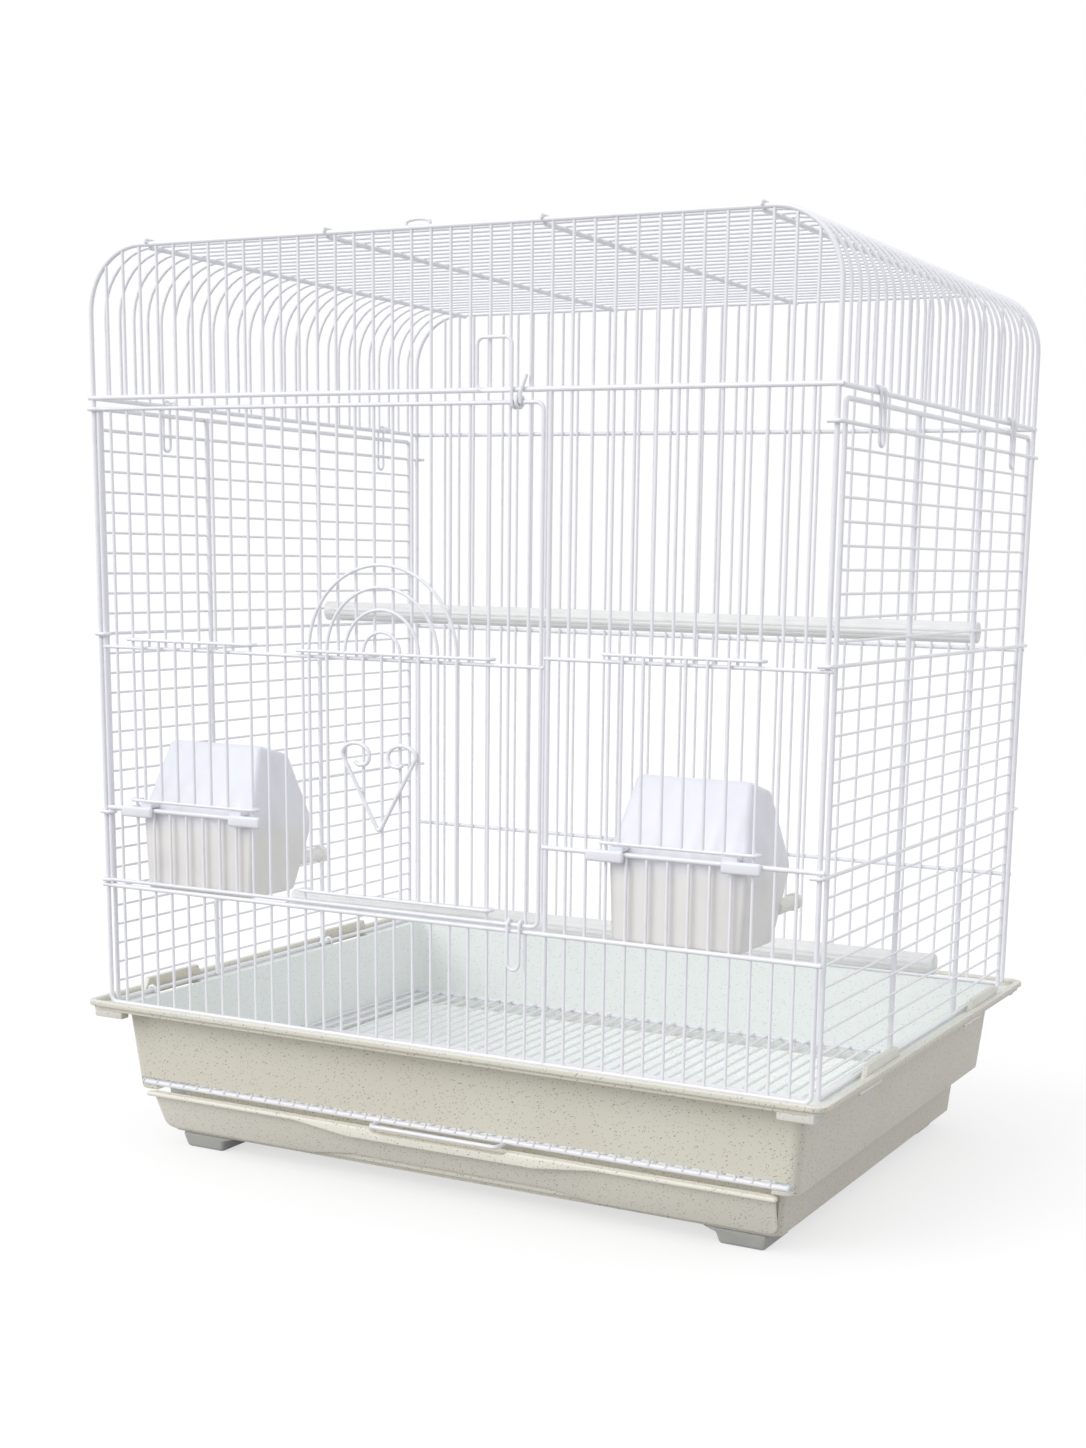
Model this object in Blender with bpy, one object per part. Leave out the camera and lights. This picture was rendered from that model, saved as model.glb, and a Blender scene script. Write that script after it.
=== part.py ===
# A flat top bird cage: wire panels, roof, doors, latches, cups and perches on a plastic tub.
# Metres, +Z up. The origin is on the floor under the middle of the cage. +X is right, -Y is front.

import math

import bmesh
import bpy
from mathutils import Vector

# Wire
WIRE = 0.0020               # upright wires
BAR = 0.0026                # cross bars and borders
DOOR_BAR = 0.0020           # cross bars of the doors
SIDE_WIRE = 0.0018          # level wires of the side panels
POST = 0.0030               # thick posts of the side panels
CLEAR = 0.0003              # gap between pieces that touch
FRONT_PITCH = 0.01145       # upright wires, front and back
FRONT_GAPS = 38
DEPTH_PITCH = 0.0117        # roof hoops
DEPTH_GAPS = 28
SIDE_GAPS = 30              # gaps between the level wires of a side panel
SIDE_BACK_IN = 0.0100       # side panel's rear border inside the back panel
SIDE_FRONT_IN = {"left": 0.0054, "right": 0.0100}       # its front border inside the front panel
SIDE_TIES = (10, 19, 29)    # level wires of a side panel that reach the front and back panels
SIDE_POST_FRONT = 0.0435    # thick posts of the right side panel, before and behind its middle;
SIDE_POST_REAR = 0.0685     # the left panel is turned round

# Heights above the rim of the tub
STRIP_TOP = 0.0670          # bar under the doors
FEEDER_SILL = 0.1120        # bar that a cup hangs on
DOOR_MID = 0.2025           # middle bar of the big door
FIXED_MID = 0.2070          # middle bar of the fixed part beside it
HOOD = 0.3370               # bar where the hood starts
HOOD_RISE = 0.0799          # top of the roof above that bar
ARCH_RADIUS = 0.0360        # outer corner of the roof
DOOR_LIFT = 0.0032          # lowest bar of the big door above the bar under it
DOOR_TOP_DROP = 0.0060      # top bar of the big door below the hood bar
SIDE_TOP_DROP = 0.0055      # top bar of a side panel below the hood bar
BACK_RAILS = {"back_rail_lower": 0.0677, "back_rail_mid": 0.2065, "back_rail_hood": HOOD}

# Tub
RIM_OUT = 0.0112            # rim outside the wire panels
RIM_CORNER = 0.0180
LIP = (0.0040, 0.0030)      # raised lip: width, thickness
LIP_CHAMFER = 0.0010
WALL_CORNER = 0.0040        # corners of the tub's walls
FLANGE_DROP = 0.0033        # flange below the lip
WALL = 0.0022
WALL_IN = 0.0052            # tub wall inside the wire panels, at the skirt
WALL_IN_BASE = 0.0096       # the same at the ledge
LEDGE = 0.0520              # ledge below the rim
BODY_IN = 0.0206            # lower body inside the wire panels, at the ledge
BODY_IN_BASE = 0.0228       # the same at the floor of the tub
BODY_BASE = 0.0813          # underside of the tub below the rim
FRONT_WALL_BASE = 0.0475    # lower edge of the front wall
GUARD = (0.0032, 0.0560, 0.0050)    # guard on the rim: thickness, length, height above the rim
GUARD_SHIFT = 0.0100        # guard's middle from its hook's leg
SLOT = (0.0090, 0.0280)     # slot for a base hook
SLOT_START = 0.0022         # slot's end past the hook's leg
SLOT_IN = 0.0006            # slot's side from the tub wall's outer face
CUT_PAST = 0.0010           # how far a cut runs past the face that it opens
MOUTH_PAST = 0.0060         # how far the cuts in the front wall run past it
HOOK_LEGS = (-0.0685, 0.1130)       # front and rear hook on the right side; the left side is turned round
HOOK_FOOT = 0.0190
HOOK_DROP = 0.0109          # foot of a base hook below the bar it turns on
HOOK_BEND = 0.0020
FOOT = (0.0300, 0.0300)
FOOT_HEIGHT = 0.0097        # underside of the tub above the floor
FOOT_CORNER = 0.0040
FOOT_TAPER = 0.0020
FOOT_INSET = (0.00715, 0.0082)      # outer sides of a foot inside the tub's floor

# Drawer and grate
DRAWER_WALL = 0.0020
DRAWER_SIDE_GAP = 0.00475   # between the tray's rim and the tub's inside
DRAWER_BACK_GAP = 0.0070
DRAWER_TAPER = 0.0020       # tray's floor inside its rim
DRAWER_CORNER = 0.0080
DRAWER_SET_BACK = 0.0238    # where the tray meets the front plate, behind the front panel
DRAWER_RIM = 0.0560         # rim of the tray below the tub's rim
PLATE_TOP_IN = (0.01885, 0.0084)    # front plate's top edge inside the side panels, behind the front panel
PLATE_BASE_IN = (0.02675, 0.0185)   # its lower edge
PLATE = 0.0026
PLATE_HEEL = 0.0040         # height of the thicker part at its lower edge
SHOULDER_IN = 0.0040        # shoulder between plate and tray, inside the tray's ends
SHOULDER_EASE = 0.0006      # shoulder inside the tray's floor and rim
WELD = 0.0010               # how far pieces that are one moulding reach into each other
GRATE_SIDE_GAP = 0.00125    # between the grate and the tub's walls
GRATE_FRONT_GAP = 0.0030
GRATE_BACK_GAP = 0.0070
GRATE_GAPS = 42
GRATE_DROP = 0.0507         # middle of the grate below the rim
GRATE_WIRE = 0.0018
GRATE_BAR = 0.0040
GRATE_CROSS = 0.0030        # where the cross bar lies
GRATE_CROSS_BAR = (0.0030, 0.0015)
HANDLE_HALF = 0.0415
HANDLE_REACH = 0.0150

# Big door
DOOR_LEFT_EDGE = 0.0033     # door's left border from the post
DOOR_RIGHT_EDGE = 0.0038    # door's right border from the fixed part's border
DOOR_LAST_WIRE = 25         # upright of the fixed part's border
FEEDER_WIRES = {"left": (2, 9), "right": (28, 35)}
SMALL_DOOR_WIRES = (12, 22)
LOOP_BORE = 0.0018
LOOP_OUT = 0.0036
LOOP_HEIGHT = 0.0016

# Sliding doors, in front of the panels
SLIDE_GAP = 0.0011          # between a panel and a door that slides on it
SLIDE_WIRE = 0.0018
SMALL_SHIFT = -0.00535      # middle of the small door from the middle of its guide wires
SMALL_PITCH = 0.0114
SMALL_ARCHES = 4
SMALL_LIFT = 0.0063         # its lowest bar above the big door's
SMALL_BAR_RISE = 0.0029     # its guide bar above the big door's middle bar
SMALL_REACH = 0.0030        # guide bar past its guide wires
FEEDER_LIFT = 0.0056        # lowest bar of a feeder door above the bar that the cup hangs on
FEEDER_TOP_RISE = {"left": 0.0045, "right": 0.0035}     # its top bar above the middle bar behind it
FEEDER_BARS = 6
FEEDER_FIRST = 0.0087       # first wire of a feeder door from its left guide
FEEDER_BAR_PITCH = 0.0114
FEEDER_REACH = 0.0040

# Heart on the small door
HEART_WIRE = 0.0020
HEART_SHIFT = -0.00175      # from the small door's middle
HEART_RISE = 0.0353         # tip above the small door's lowest bar
HEART_CURL = 0.0077
HEART_CURL_X = 0.0145       # curl centre from the heart's middle
HEART_CURL_Z = 0.0397       # curl centre above the tip
HEART_CURL_END = 265        # degrees

# Latches
LATCH_WIRE = 0.0018
LATCH_COIL = 0.0026         # coil radius round a door bar
TOP_LATCH_IN = (0.0339, 0.0169)     # its legs inside the door's right border
TOP_LATCH_RISE = 0.0320     # its tip above the door's top bar
TOP_LATCH_CORNER = 0.0038
TOP_LATCH_FOOT = (0.0022, 0.0075)   # end of the wire beside the right leg, above the door's top bar
TOP_COIL_PITCH = 0.0024
TOP_COIL_TURNS = 2
TOP_COIL_STEPS = 8          # points in a turn
TOP_TAIL_RISE = 0.0090      # end of the tail above the door's top bar
BOTTOM_LATCH_IN = (0.0169, 0.0099)
BOTTOM_LATCH_DROP = 0.0242  # its tip below the door's lowest bar
CLIP_SPREAD = 0.0060
CLIP_DROP = 0.0250          # its tip below the hood bar
CLIP_GAPS = {"right": (4, 23), "left": (5, 24)}     # hoop gap of the front and rear clip

# Cups
CUP_HALF = 0.0380
CUP_HALF_BASE = 0.0340
CUP_HALF_HOOD = 0.0310
CUP_FRONT = 0.0029          # cup's front behind the wires' middle
CUP_BASE_DROP = 0.0420      # heights from the bar that the cup hangs on
CUP_BROW_DROP = 0.0010      # where the hood starts to slope
CUP_HOOD_RISE = 0.0370
CUP_BULGE_DROP = 0.0040
CUP_HOOD_FRONT = 0.0248     # hood's top edge behind the wires' middle
CUP_HOOD_BACK = 0.0398
CUP_BULGE_BACK = 0.0648
CUP_BASE_BACK = 0.0518
CUP_WALL = 0.0020
CUP_MOUTH_PAST = 0.0120     # how far the cup's open side is cut past its wall
EAR = (0.0180, 0.0022, 0.0060)      # ear in front of the bar: width, thickness, height
EAR_ARM = (0.0080, 0.0027)          # arm between the ear and the cup: width, height
ARM_SINK = 0.0002           # arm's end inside the cup's wall
EAR_SPREAD = 0.0395         # ear centre from the cup's middle
PEG = 0.0045
PEG_OUT = 0.0200
PEG_SIDE = 0.0320           # peg's middle from the cup's
PEG_DROP = 0.0285           # peg below the bar that the cup hangs on

# Perches: place at the left side, place at the right side, height above the rim
PERCH_RADIUS = 0.0060
PERCHES = {"upper_perch": (0.0500, 0.0780, 0.2190), "lower_perch": (0.0140, 0.0280, 0.0340)}
UPPER_PERCH_SHORT = 0.0031  # the upper perch ends at a post on the left
PERCH_END_GAP = 0.0005      # a perch lies slightly askew, so its round end needs more than the common gap

# Roof supports and the loop on the arch
SUPPORT = 0.0026
SUPPORT_PLACES = (5.5, 15.5)        # from the middle, in gaps of the front panel
LOOP_WIDTH = 0.0140
LOOP_RISE = 0.0024
LOOP_CORNER = 0.0020
LOOP_SHIFT = -0.0076        # from the cage's middle

WHITE_WIRE = ((0.87, 0.87, 0.90), 0.35, 0.0)
CREAM = ((0.83, 0.81, 0.74), 0.55, 0.0)
CUP_WHITE = ((0.86, 0.85, 0.84), 0.45, 0.0)
PERCH_WHITE = ((0.88, 0.88, 0.87), 0.5, 0.0)
FOOT_GREY = ((0.42, 0.42, 0.41), 0.6, 0.0)

HALF_WIDTH = FRONT_PITCH * FRONT_GAPS / 2
HALF_DEPTH = DEPTH_PITCH * DEPTH_GAPS / 2
FRONT = -HALF_DEPTH
RIM = BODY_BASE + FOOT_HEIGHT               # rim of the tub above the floor
ROOF_TOP = HOOD + HOOD_RISE
SIDE_TOP = HOOD - SIDE_TOP_DROP
DOOR_TOP = HOOD - DOOR_TOP_DROP
DOOR_BASE = STRIP_TOP + DOOR_LIFT
DOOR_RIGHT = -HALF_WIDTH + FRONT_PITCH * DOOR_LAST_WIRE - DOOR_RIGHT_EDGE
SLIDE_PLANE = FRONT - WIRE / 2 - SLIDE_GAP - SLIDE_WIRE / 2
FRAME_BASE = RIM - FLANGE_DROP + CLEAR      # underside of the wire cage
BASE_BAR = FRAME_BASE + BAR / 2             # middle of the lowest bars
DRAWER_HALF = HALF_WIDTH - BODY_IN - WALL - DRAWER_SIDE_GAP
DRAWER_HALF_BASE = DRAWER_HALF - DRAWER_TAPER
DRAWER_FRONT = FRONT + DRAWER_SET_BACK
DRAWER_BACK = HALF_DEPTH - BODY_IN - WALL - DRAWER_BACK_GAP
GRATE_HALF = HALF_WIDTH - WALL_IN_BASE - WALL - GRATE_SIDE_GAP
GRATE_FRONT = FRONT + WALL_IN_BASE + WALL + GRATE_FRONT_GAP
GRATE_BACK = HALF_DEPTH - WALL_IN_BASE - WALL - GRATE_BACK_GAP
FEEDER_TOP = {"left": DOOR_MID + FEEDER_TOP_RISE["left"], "right": FIXED_MID + FEEDER_TOP_RISE["right"]}
CUP_BASE = FEEDER_SILL - CUP_BASE_DROP
CUP_BROW = FEEDER_SILL - CUP_BROW_DROP
CUP_HOOD = FEEDER_SILL + CUP_HOOD_RISE
CUP_BULGE = FEEDER_SILL - CUP_BULGE_DROP
PEG_PLACE = (PEG_SIDE, FEEDER_SILL - PEG_DROP)
SMALL_MID = -HALF_WIDTH + FRONT_PITCH * sum(SMALL_DOOR_WIRES) / 2 + SMALL_SHIFT
SMALL_BASE = DOOR_BASE + SMALL_LIFT
SMALL_BAR = DOOR_MID + SMALL_BAR_RISE

bodies = {}


def up(height):
    """Height above the floor of a height given above the rim."""
    return RIM + height


def upright(number):
    """Place of an upright wire of the front, counted from the left post."""
    return -HALF_WIDTH + FRONT_PITCH * number


def add_body(name, pivot):
    """An empty on the joint of a moving body; the body's pieces are parented to it."""
    empty = bpy.data.objects.new(name + "_pivot", None)
    empty.location = pivot
    empty.empty_display_size = 0.02
    bpy.context.scene.collection.objects.link(empty)
    bodies[name] = empty


def finish(item, look, body):
    """Link an object, give it its own material, and parent it to its body."""
    colour, roughness, metallic = look
    material = bpy.data.materials.new(item.name + "_finish")
    material.use_nodes = True
    shader = material.node_tree.nodes["Principled BSDF"]
    shader.inputs["Base Color"].default_value = (*colour, 1)
    shader.inputs["Roughness"].default_value = roughness
    shader.inputs["Metallic"].default_value = metallic
    material.diffuse_color = (*colour, 1)
    item.data.materials.append(material)
    bpy.context.scene.collection.objects.link(item)
    if body:
        item.parent = bodies[body]
        item.location = -bodies[body].location
    return item


def from_bmesh(name, bm, look, body=None, smooth=False):
    mesh = bpy.data.meshes.new(name)
    bmesh.ops.recalc_face_normals(bm, faces=bm.faces)
    bm.to_mesh(mesh)
    bm.free()
    if smooth:
        mesh.shade_smooth()
        mesh.set_sharp_from_angle(angle=math.radians(35))
    return finish(bpy.data.objects.new(name, mesh), look, body)


def helper(name, bm):
    """A hidden solid that a Boolean joins or cuts away."""
    mesh = bpy.data.meshes.new(name)
    bmesh.ops.recalc_face_normals(bm, faces=bm.faces)
    bm.to_mesh(mesh)
    bm.free()
    item = bpy.data.objects.new(name, mesh)
    item.hide_render = True
    item.display_type = "WIRE"
    bpy.context.scene.collection.objects.link(item)
    return item


def combine(item, operation, *others):
    for other in others:
        modifier = item.modifiers.new(other.name, "BOOLEAN")
        modifier.operation = operation
        modifier.object = other


def front_plane(u, v, w):
    return (u, w, v)


def side_plane(u, v, w):
    return (w, u, v)


def level_plane(u, v, w):
    return (u, v, w)


def box(low, high):
    bm = bmesh.new()
    add_prism(bm, [(low[0], low[1]), (high[0], low[1]), (high[0], high[1]), (low[0], high[1])],
              level_plane, low[2], high[2])
    return bm


def add_prism(bm, outline, plane, low, high):
    """A flat outline given a thickness."""
    bottom = [bm.verts.new(plane(u, v, low)) for u, v in outline]
    top = [bm.verts.new(plane(u, v, high)) for u, v in outline]
    bm.faces.new(bottom)
    bm.faces.new(top)
    for i in range(len(outline)):
        j = (i + 1) % len(outline)
        bm.faces.new((bottom[i], bottom[j], top[j], top[i]))


def lattice(bars, plane, low, high):
    """Flat bars (u0, u1, v0, v1) of one thickness, welded where they cross."""
    def line(edge):
        return round(edge, 6)

    us = sorted({line(edge) for bar in bars for edge in bar[:2]})
    vs = sorted({line(edge) for bar in bars for edge in bar[2:]})
    filled = set()
    for u0, u1, v0, v1 in bars:
        for i in range(us.index(line(u0)), us.index(line(u1))):
            for j in range(vs.index(line(v0)), vs.index(line(v1))):
                filled.add((i, j))
    bm = bmesh.new()
    corners = {}

    def corner(place, w):
        key = (place, w)
        if key not in corners:
            corners[key] = bm.verts.new(plane(us[place[0]], vs[place[1]], w))
        return corners[key]

    for i, j in sorted(filled):
        ring = ((i, j), (i + 1, j), (i + 1, j + 1), (i, j + 1))
        bm.faces.new([corner(place, high) for place in ring])
        bm.faces.new([corner(place, low) for place in ring])
        for side, beside in enumerate(((i, j - 1), (i + 1, j), (i, j + 1), (i - 1, j))):
            if beside not in filled:
                start, end = ring[side], ring[(side + 1) % 4]
                bm.faces.new((corner(start, low), corner(end, low), corner(end, high), corner(start, high)))
    return bm


def add_ribbon(bm, points, width, plane, low, high):
    """A bar of rectangular section bent along points in one plane."""
    count = len(points)
    rings = []
    for i, (u, v) in enumerate(points):
        before = Vector(points[i]) - Vector(points[i - 1]) if i else None
        after = Vector(points[i + 1]) - Vector(points[i]) if i < count - 1 else None
        ahead = (before or after).normalized()
        along = (ahead + (after or before).normalized()).normalized()
        normal = Vector((-along.y, along.x))
        reach = width / 2 / normal.dot(Vector((-ahead.y, ahead.x)))
        left = (u + normal.x * reach, v + normal.y * reach)
        right = (u - normal.x * reach, v - normal.y * reach)
        rings.append([bm.verts.new(plane(*side, w)) for side, w in
                      ((left, low), (right, low), (right, high), (left, high))])
    for one, two in zip(rings, rings[1:]):
        for k in range(4):
            bm.faces.new((one[k], one[(k + 1) % 4], two[(k + 1) % 4], two[k]))
    bm.faces.new(rings[0])
    bm.faces.new(rings[-1])


def arc(centre, radius, start, end, steps):
    """Points of an arc, angles in degrees."""
    points = []
    for i in range(steps + 1):
        angle = math.radians(start + (end - start) * i / steps)
        points.append((centre[0] + radius * math.cos(angle), centre[1] + radius * math.sin(angle)))
    return points


def add_loop(bm, centre, bore, outer, low, high, sides=8):
    """A flat ring round an upright wire."""
    rings = []
    for radius in (bore, outer):
        for w in (low, high):
            rings.append([bm.verts.new((x, y, w)) for x, y in arc(centre, radius, 0, 360, sides)[:-1]])
    inner_low, inner_high, outer_low, outer_high = rings
    for i in range(sides):
        j = (i + 1) % sides
        bm.faces.new((inner_low[i], inner_low[j], inner_high[j], inner_high[i]))
        bm.faces.new((outer_low[i], outer_low[j], outer_high[j], outer_high[i]))
        bm.faces.new((inner_low[i], inner_low[j], outer_low[j], outer_low[i]))
        bm.faces.new((inner_high[i], inner_high[j], outer_high[j], outer_high[i]))


def wire(name, points, thickness, look, body=None, resolution=1):
    """A bent round wire."""
    curve = bpy.data.curves.new(name, "CURVE")
    curve.dimensions = "3D"
    curve.bevel_depth = thickness / 2
    curve.bevel_resolution = resolution
    curve.use_fill_caps = True
    spline = curve.splines.new("POLY")
    spline.points.add(len(points) - 1)
    for point, place in zip(spline.points, points):
        point.co = (*place, 1)
    return finish(bpy.data.objects.new(name, curve), look, body)


def rounded_outline(half_x, half_y, radius, steps=3):
    points = []
    for turn, (sx, sy) in enumerate(((1, 1), (-1, 1), (-1, -1), (1, -1))):
        centre = (sx * (half_x - radius), sy * (half_y - radius))
        points += arc(centre, radius, 90 * turn, 90 * turn + 90, steps)
    return points


def add_loft(bm, rings):
    """Rings of the same number of points joined in order, with both ends closed."""
    loops = [[bm.verts.new(point) for point in ring] for ring in rings]
    for one, two in zip(loops, loops[1:]):
        for i in range(len(one)):
            j = (i + 1) % len(one)
            bm.faces.new((one[i], one[j], two[j], two[i]))
    bm.faces.new(loops[0])
    bm.faces.new(loops[-1])


def uprights(numbers, low, high, width=WIRE):
    return [(upright(n) - width / 2, upright(n) + width / 2, low, high) for n in numbers]


def level(x0, x1, height, thickness):
    return (x0, x1, height - thickness / 2, height + thickness / 2)


def front_lattice(bars, thickness=WIRE):
    return lattice(bars, front_plane, FRONT - thickness / 2, FRONT + thickness / 2)


def arch_points(base):
    """Middle line of an arch, from one foot over the roof to the other."""
    top = up(ROOF_TOP) - BAR / 2
    radius = ARCH_RADIUS - BAR / 2
    points = [(HALF_WIDTH, base)]
    points += arc((HALF_WIDTH - radius, top - radius), radius, 0, 90, 4)
    points += arc((radius - HALF_WIDTH, top - radius), radius, 90, 180, 4)
    points.append((-HALF_WIDTH, base))
    return points


def arch_height(x):
    """Height of an arch's middle line at a place across the cage."""
    top = up(ROOF_TOP) - BAR / 2
    radius = ARCH_RADIUS - BAR / 2
    past = abs(x) - (HALF_WIDTH - radius)
    return top if past <= 0 else top - radius + math.sqrt(max(radius ** 2 - past ** 2, 0))


# Tub


def tub_ring(inset, below):
    """Outline of the tub at an inset from its rim and a depth below the rim."""
    half_x = HALF_WIDTH + RIM_OUT - inset
    half_y = HALF_DEPTH + RIM_OUT - inset
    radius = max(RIM_CORNER - inset, WALL_CORNER)
    return [(x, y, RIM - below) for x, y in rounded_outline(half_x, half_y, radius)]


def make_tub():
    wall = RIM_OUT + WALL_IN
    wall_base = RIM_OUT + WALL_IN_BASE
    body = RIM_OUT + BODY_IN
    body_base = RIM_OUT + BODY_IN_BASE
    lip_width, lip_thick = LIP
    profile = [
        (body_base, BODY_BASE),
        (body, LEDGE + WALL),
        (wall_base, LEDGE + WALL),
        (wall, FLANGE_DROP + WALL),
        (lip_width - WALL, FLANGE_DROP + WALL),
        (lip_width - WALL, lip_thick),
        (0, lip_thick),
        (0, LIP_CHAMFER),
        (LIP_CHAMFER, 0),
        (lip_width, 0),
        (lip_width, FLANGE_DROP),
        (wall + WALL, FLANGE_DROP),
        (wall_base + WALL, LEDGE),
        (body + WALL, LEDGE),
        (body_base + WALL, BODY_BASE - WALL),
    ]
    bm = bmesh.new()
    add_loft(bm, [tub_ring(inset, below) for inset, below in profile])
    tub = from_bmesh("base_tub", bm, CREAM)

    inside = HALF_WIDTH - BODY_IN - WALL
    inside_base = HALF_WIDTH - BODY_IN_BASE - WALL
    front = FRONT - RIM_OUT
    mouth = bmesh.new()
    outline = [(-inside_base, up(WALL - BODY_BASE)), (inside_base, up(WALL - BODY_BASE)),
               (inside, up(-LEDGE)), (inside, up(-FRONT_WALL_BASE)),
               (-inside, up(-FRONT_WALL_BASE)), (-inside, up(-LEDGE))]
    add_prism(mouth, outline, front_plane, front, FRONT + BODY_IN_BASE + MOUTH_PAST)
    slit = HALF_WIDTH - WALL_IN_BASE - WALL
    grate_mouth = box((-slit, front, up(-LEDGE)),
                      (slit, FRONT + WALL_IN_BASE + MOUTH_PAST, up(-FRONT_WALL_BASE)))
    cutters = [helper("drawer_mouth", mouth), helper("grate_mouth", grate_mouth)]

    added = []
    flange = up(-FLANGE_DROP)
    for side, number, leg in hook_places():
        middle = side * (leg - GUARD_SHIFT)
        inner = side * (HALF_WIDTH + BAR / 2 + WIRE + 3 * CLEAR)
        outer = inner + side * GUARD[0]
        guard = box((min(inner, outer), middle - GUARD[1] / 2, flange - WALL / 2),
                    (max(inner, outer), middle + GUARD[1] / 2, up(GUARD[2])))
        added.append(helper(f"guard_{number}", guard))
        slot_start = side * (leg + SLOT_START)
        slot_end = side * (leg + SLOT_START - SLOT[1])
        slot_in = side * (HALF_WIDTH - WALL_IN + SLOT_IN)
        slot_out = slot_in + side * SLOT[0]
        slot = box((min(slot_in, slot_out), min(slot_start, slot_end), flange - WALL - CUT_PAST),
                   (max(slot_in, slot_out), max(slot_start, slot_end), flange + CUT_PAST))
        cutters.append(helper(f"slot_{number}", slot))
    combine(tub, "DIFFERENCE", *cutters)
    combine(tub, "UNION", *added)


def hook_places():
    """Side, number and leg of each base hook; leg is measured as on the right side."""
    places = []
    for side in (1, -1):
        for leg in HOOK_LEGS:
            places.append((side, len(places) + 1, leg))
    return places


def make_feet():
    out_x = HALF_WIDTH - BODY_IN_BASE - FOOT_INSET[0] - FOOT[0] / 2
    out_y = HALF_DEPTH - BODY_IN_BASE - FOOT_INSET[1] - FOOT[1] / 2
    for number, (sx, sy) in enumerate(((-1, -1), (1, -1), (-1, 1), (1, 1)), 1):
        middle = Vector((sx * out_x, sy * out_y, 0))
        rings = []
        for height, inset in ((0, FOOT_TAPER), (FOOT_HEIGHT - CLEAR, 0)):
            outline = rounded_outline(FOOT[0] / 2 - inset, FOOT[1] / 2 - inset, FOOT_CORNER, 2)
            rings.append([(x + middle.x, y + middle.y, height) for x, y in outline])
        bm = bmesh.new()
        add_loft(bm, rings)
        from_bmesh(f"foot_{number}", bm, FOOT_GREY)


def make_base_hooks():
    """A wire hook round the lowest bar of a side panel, down through its slot, with a foot along the wall."""
    curl = BAR / 2 + CLEAR + WIRE / 2
    for side, number, leg in hook_places():
        name = f"base_hook_{number}"
        axis = Vector((side * HALF_WIDTH, side * leg, BASE_BAR))
        add_body(name, axis)
        points = []
        for x, z in arc((0, 0), curl, 10, 180, 6):
            points.append((axis.x + side * x, axis.y, axis.z + z))
        foot = axis.z - HOOK_DROP
        inner = axis.x - side * curl
        points.append((inner, axis.y, foot + HOOK_BEND))
        points.append((inner, axis.y - side * HOOK_BEND, foot))
        points.append((inner, axis.y - side * HOOK_FOOT, foot))
        wire(name, points, WIRE, WHITE_WIRE, name)


# Drawer and grate


def make_drawer():
    add_body("drawer", (0, DRAWER_FRONT, up(-BODY_BASE)))
    base = up(WALL + CLEAR - BODY_BASE)
    rim = up(-DRAWER_RIM)
    middle_y = (DRAWER_BACK + DRAWER_FRONT) / 2
    half_y = (DRAWER_BACK - DRAWER_FRONT) / 2

    def tray(half_x, shrink, height):
        return [(x, y + middle_y, height) for x, y in rounded_outline(half_x, half_y - shrink, DRAWER_CORNER)]

    bm = bmesh.new()
    add_loft(bm, [
        tray(DRAWER_HALF_BASE, DRAWER_TAPER, base),
        tray(DRAWER_HALF, 0, rim),
        tray(DRAWER_HALF - DRAWER_WALL, DRAWER_WALL, rim),
        tray(DRAWER_HALF_BASE - DRAWER_WALL, DRAWER_WALL + DRAWER_TAPER, base + DRAWER_WALL),
    ])
    drawer = from_bmesh("drawer", bm, CREAM, "drawer")
    plate = bmesh.new()
    top_half, top_front = HALF_WIDTH - PLATE_TOP_IN[0], FRONT + PLATE_TOP_IN[1]
    base_half, base_front = HALF_WIDTH - PLATE_BASE_IN[0], FRONT + PLATE_BASE_IN[1]
    top = up(-LEDGE - WALL - CLEAR)
    outline = [(top_front, top), (base_front, base), (DRAWER_FRONT + WELD, base),
               (DRAWER_FRONT + WELD, base + DRAWER_WALL + WELD / 2), (base_front + PLATE, base + PLATE_HEEL),
               (top_front + PLATE, top)]
    sides = []
    for sign in (-1, 1):
        ring = []
        for y, z in outline:
            share = (z - base) / (top - base)
            ring.append((sign * (base_half + (top_half - base_half) * share), y, z))
        sides.append(ring)
    add_loft(plate, sides)
    shoulder = box((-DRAWER_HALF_BASE + SHOULDER_IN, base_front + WELD, base + SHOULDER_EASE),
                   (DRAWER_HALF_BASE - SHOULDER_IN, DRAWER_FRONT + WELD * 1.2, rim - SHOULDER_EASE))
    combine(drawer, "UNION", helper("front_plate", plate), helper("front_shoulder", shoulder))


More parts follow.
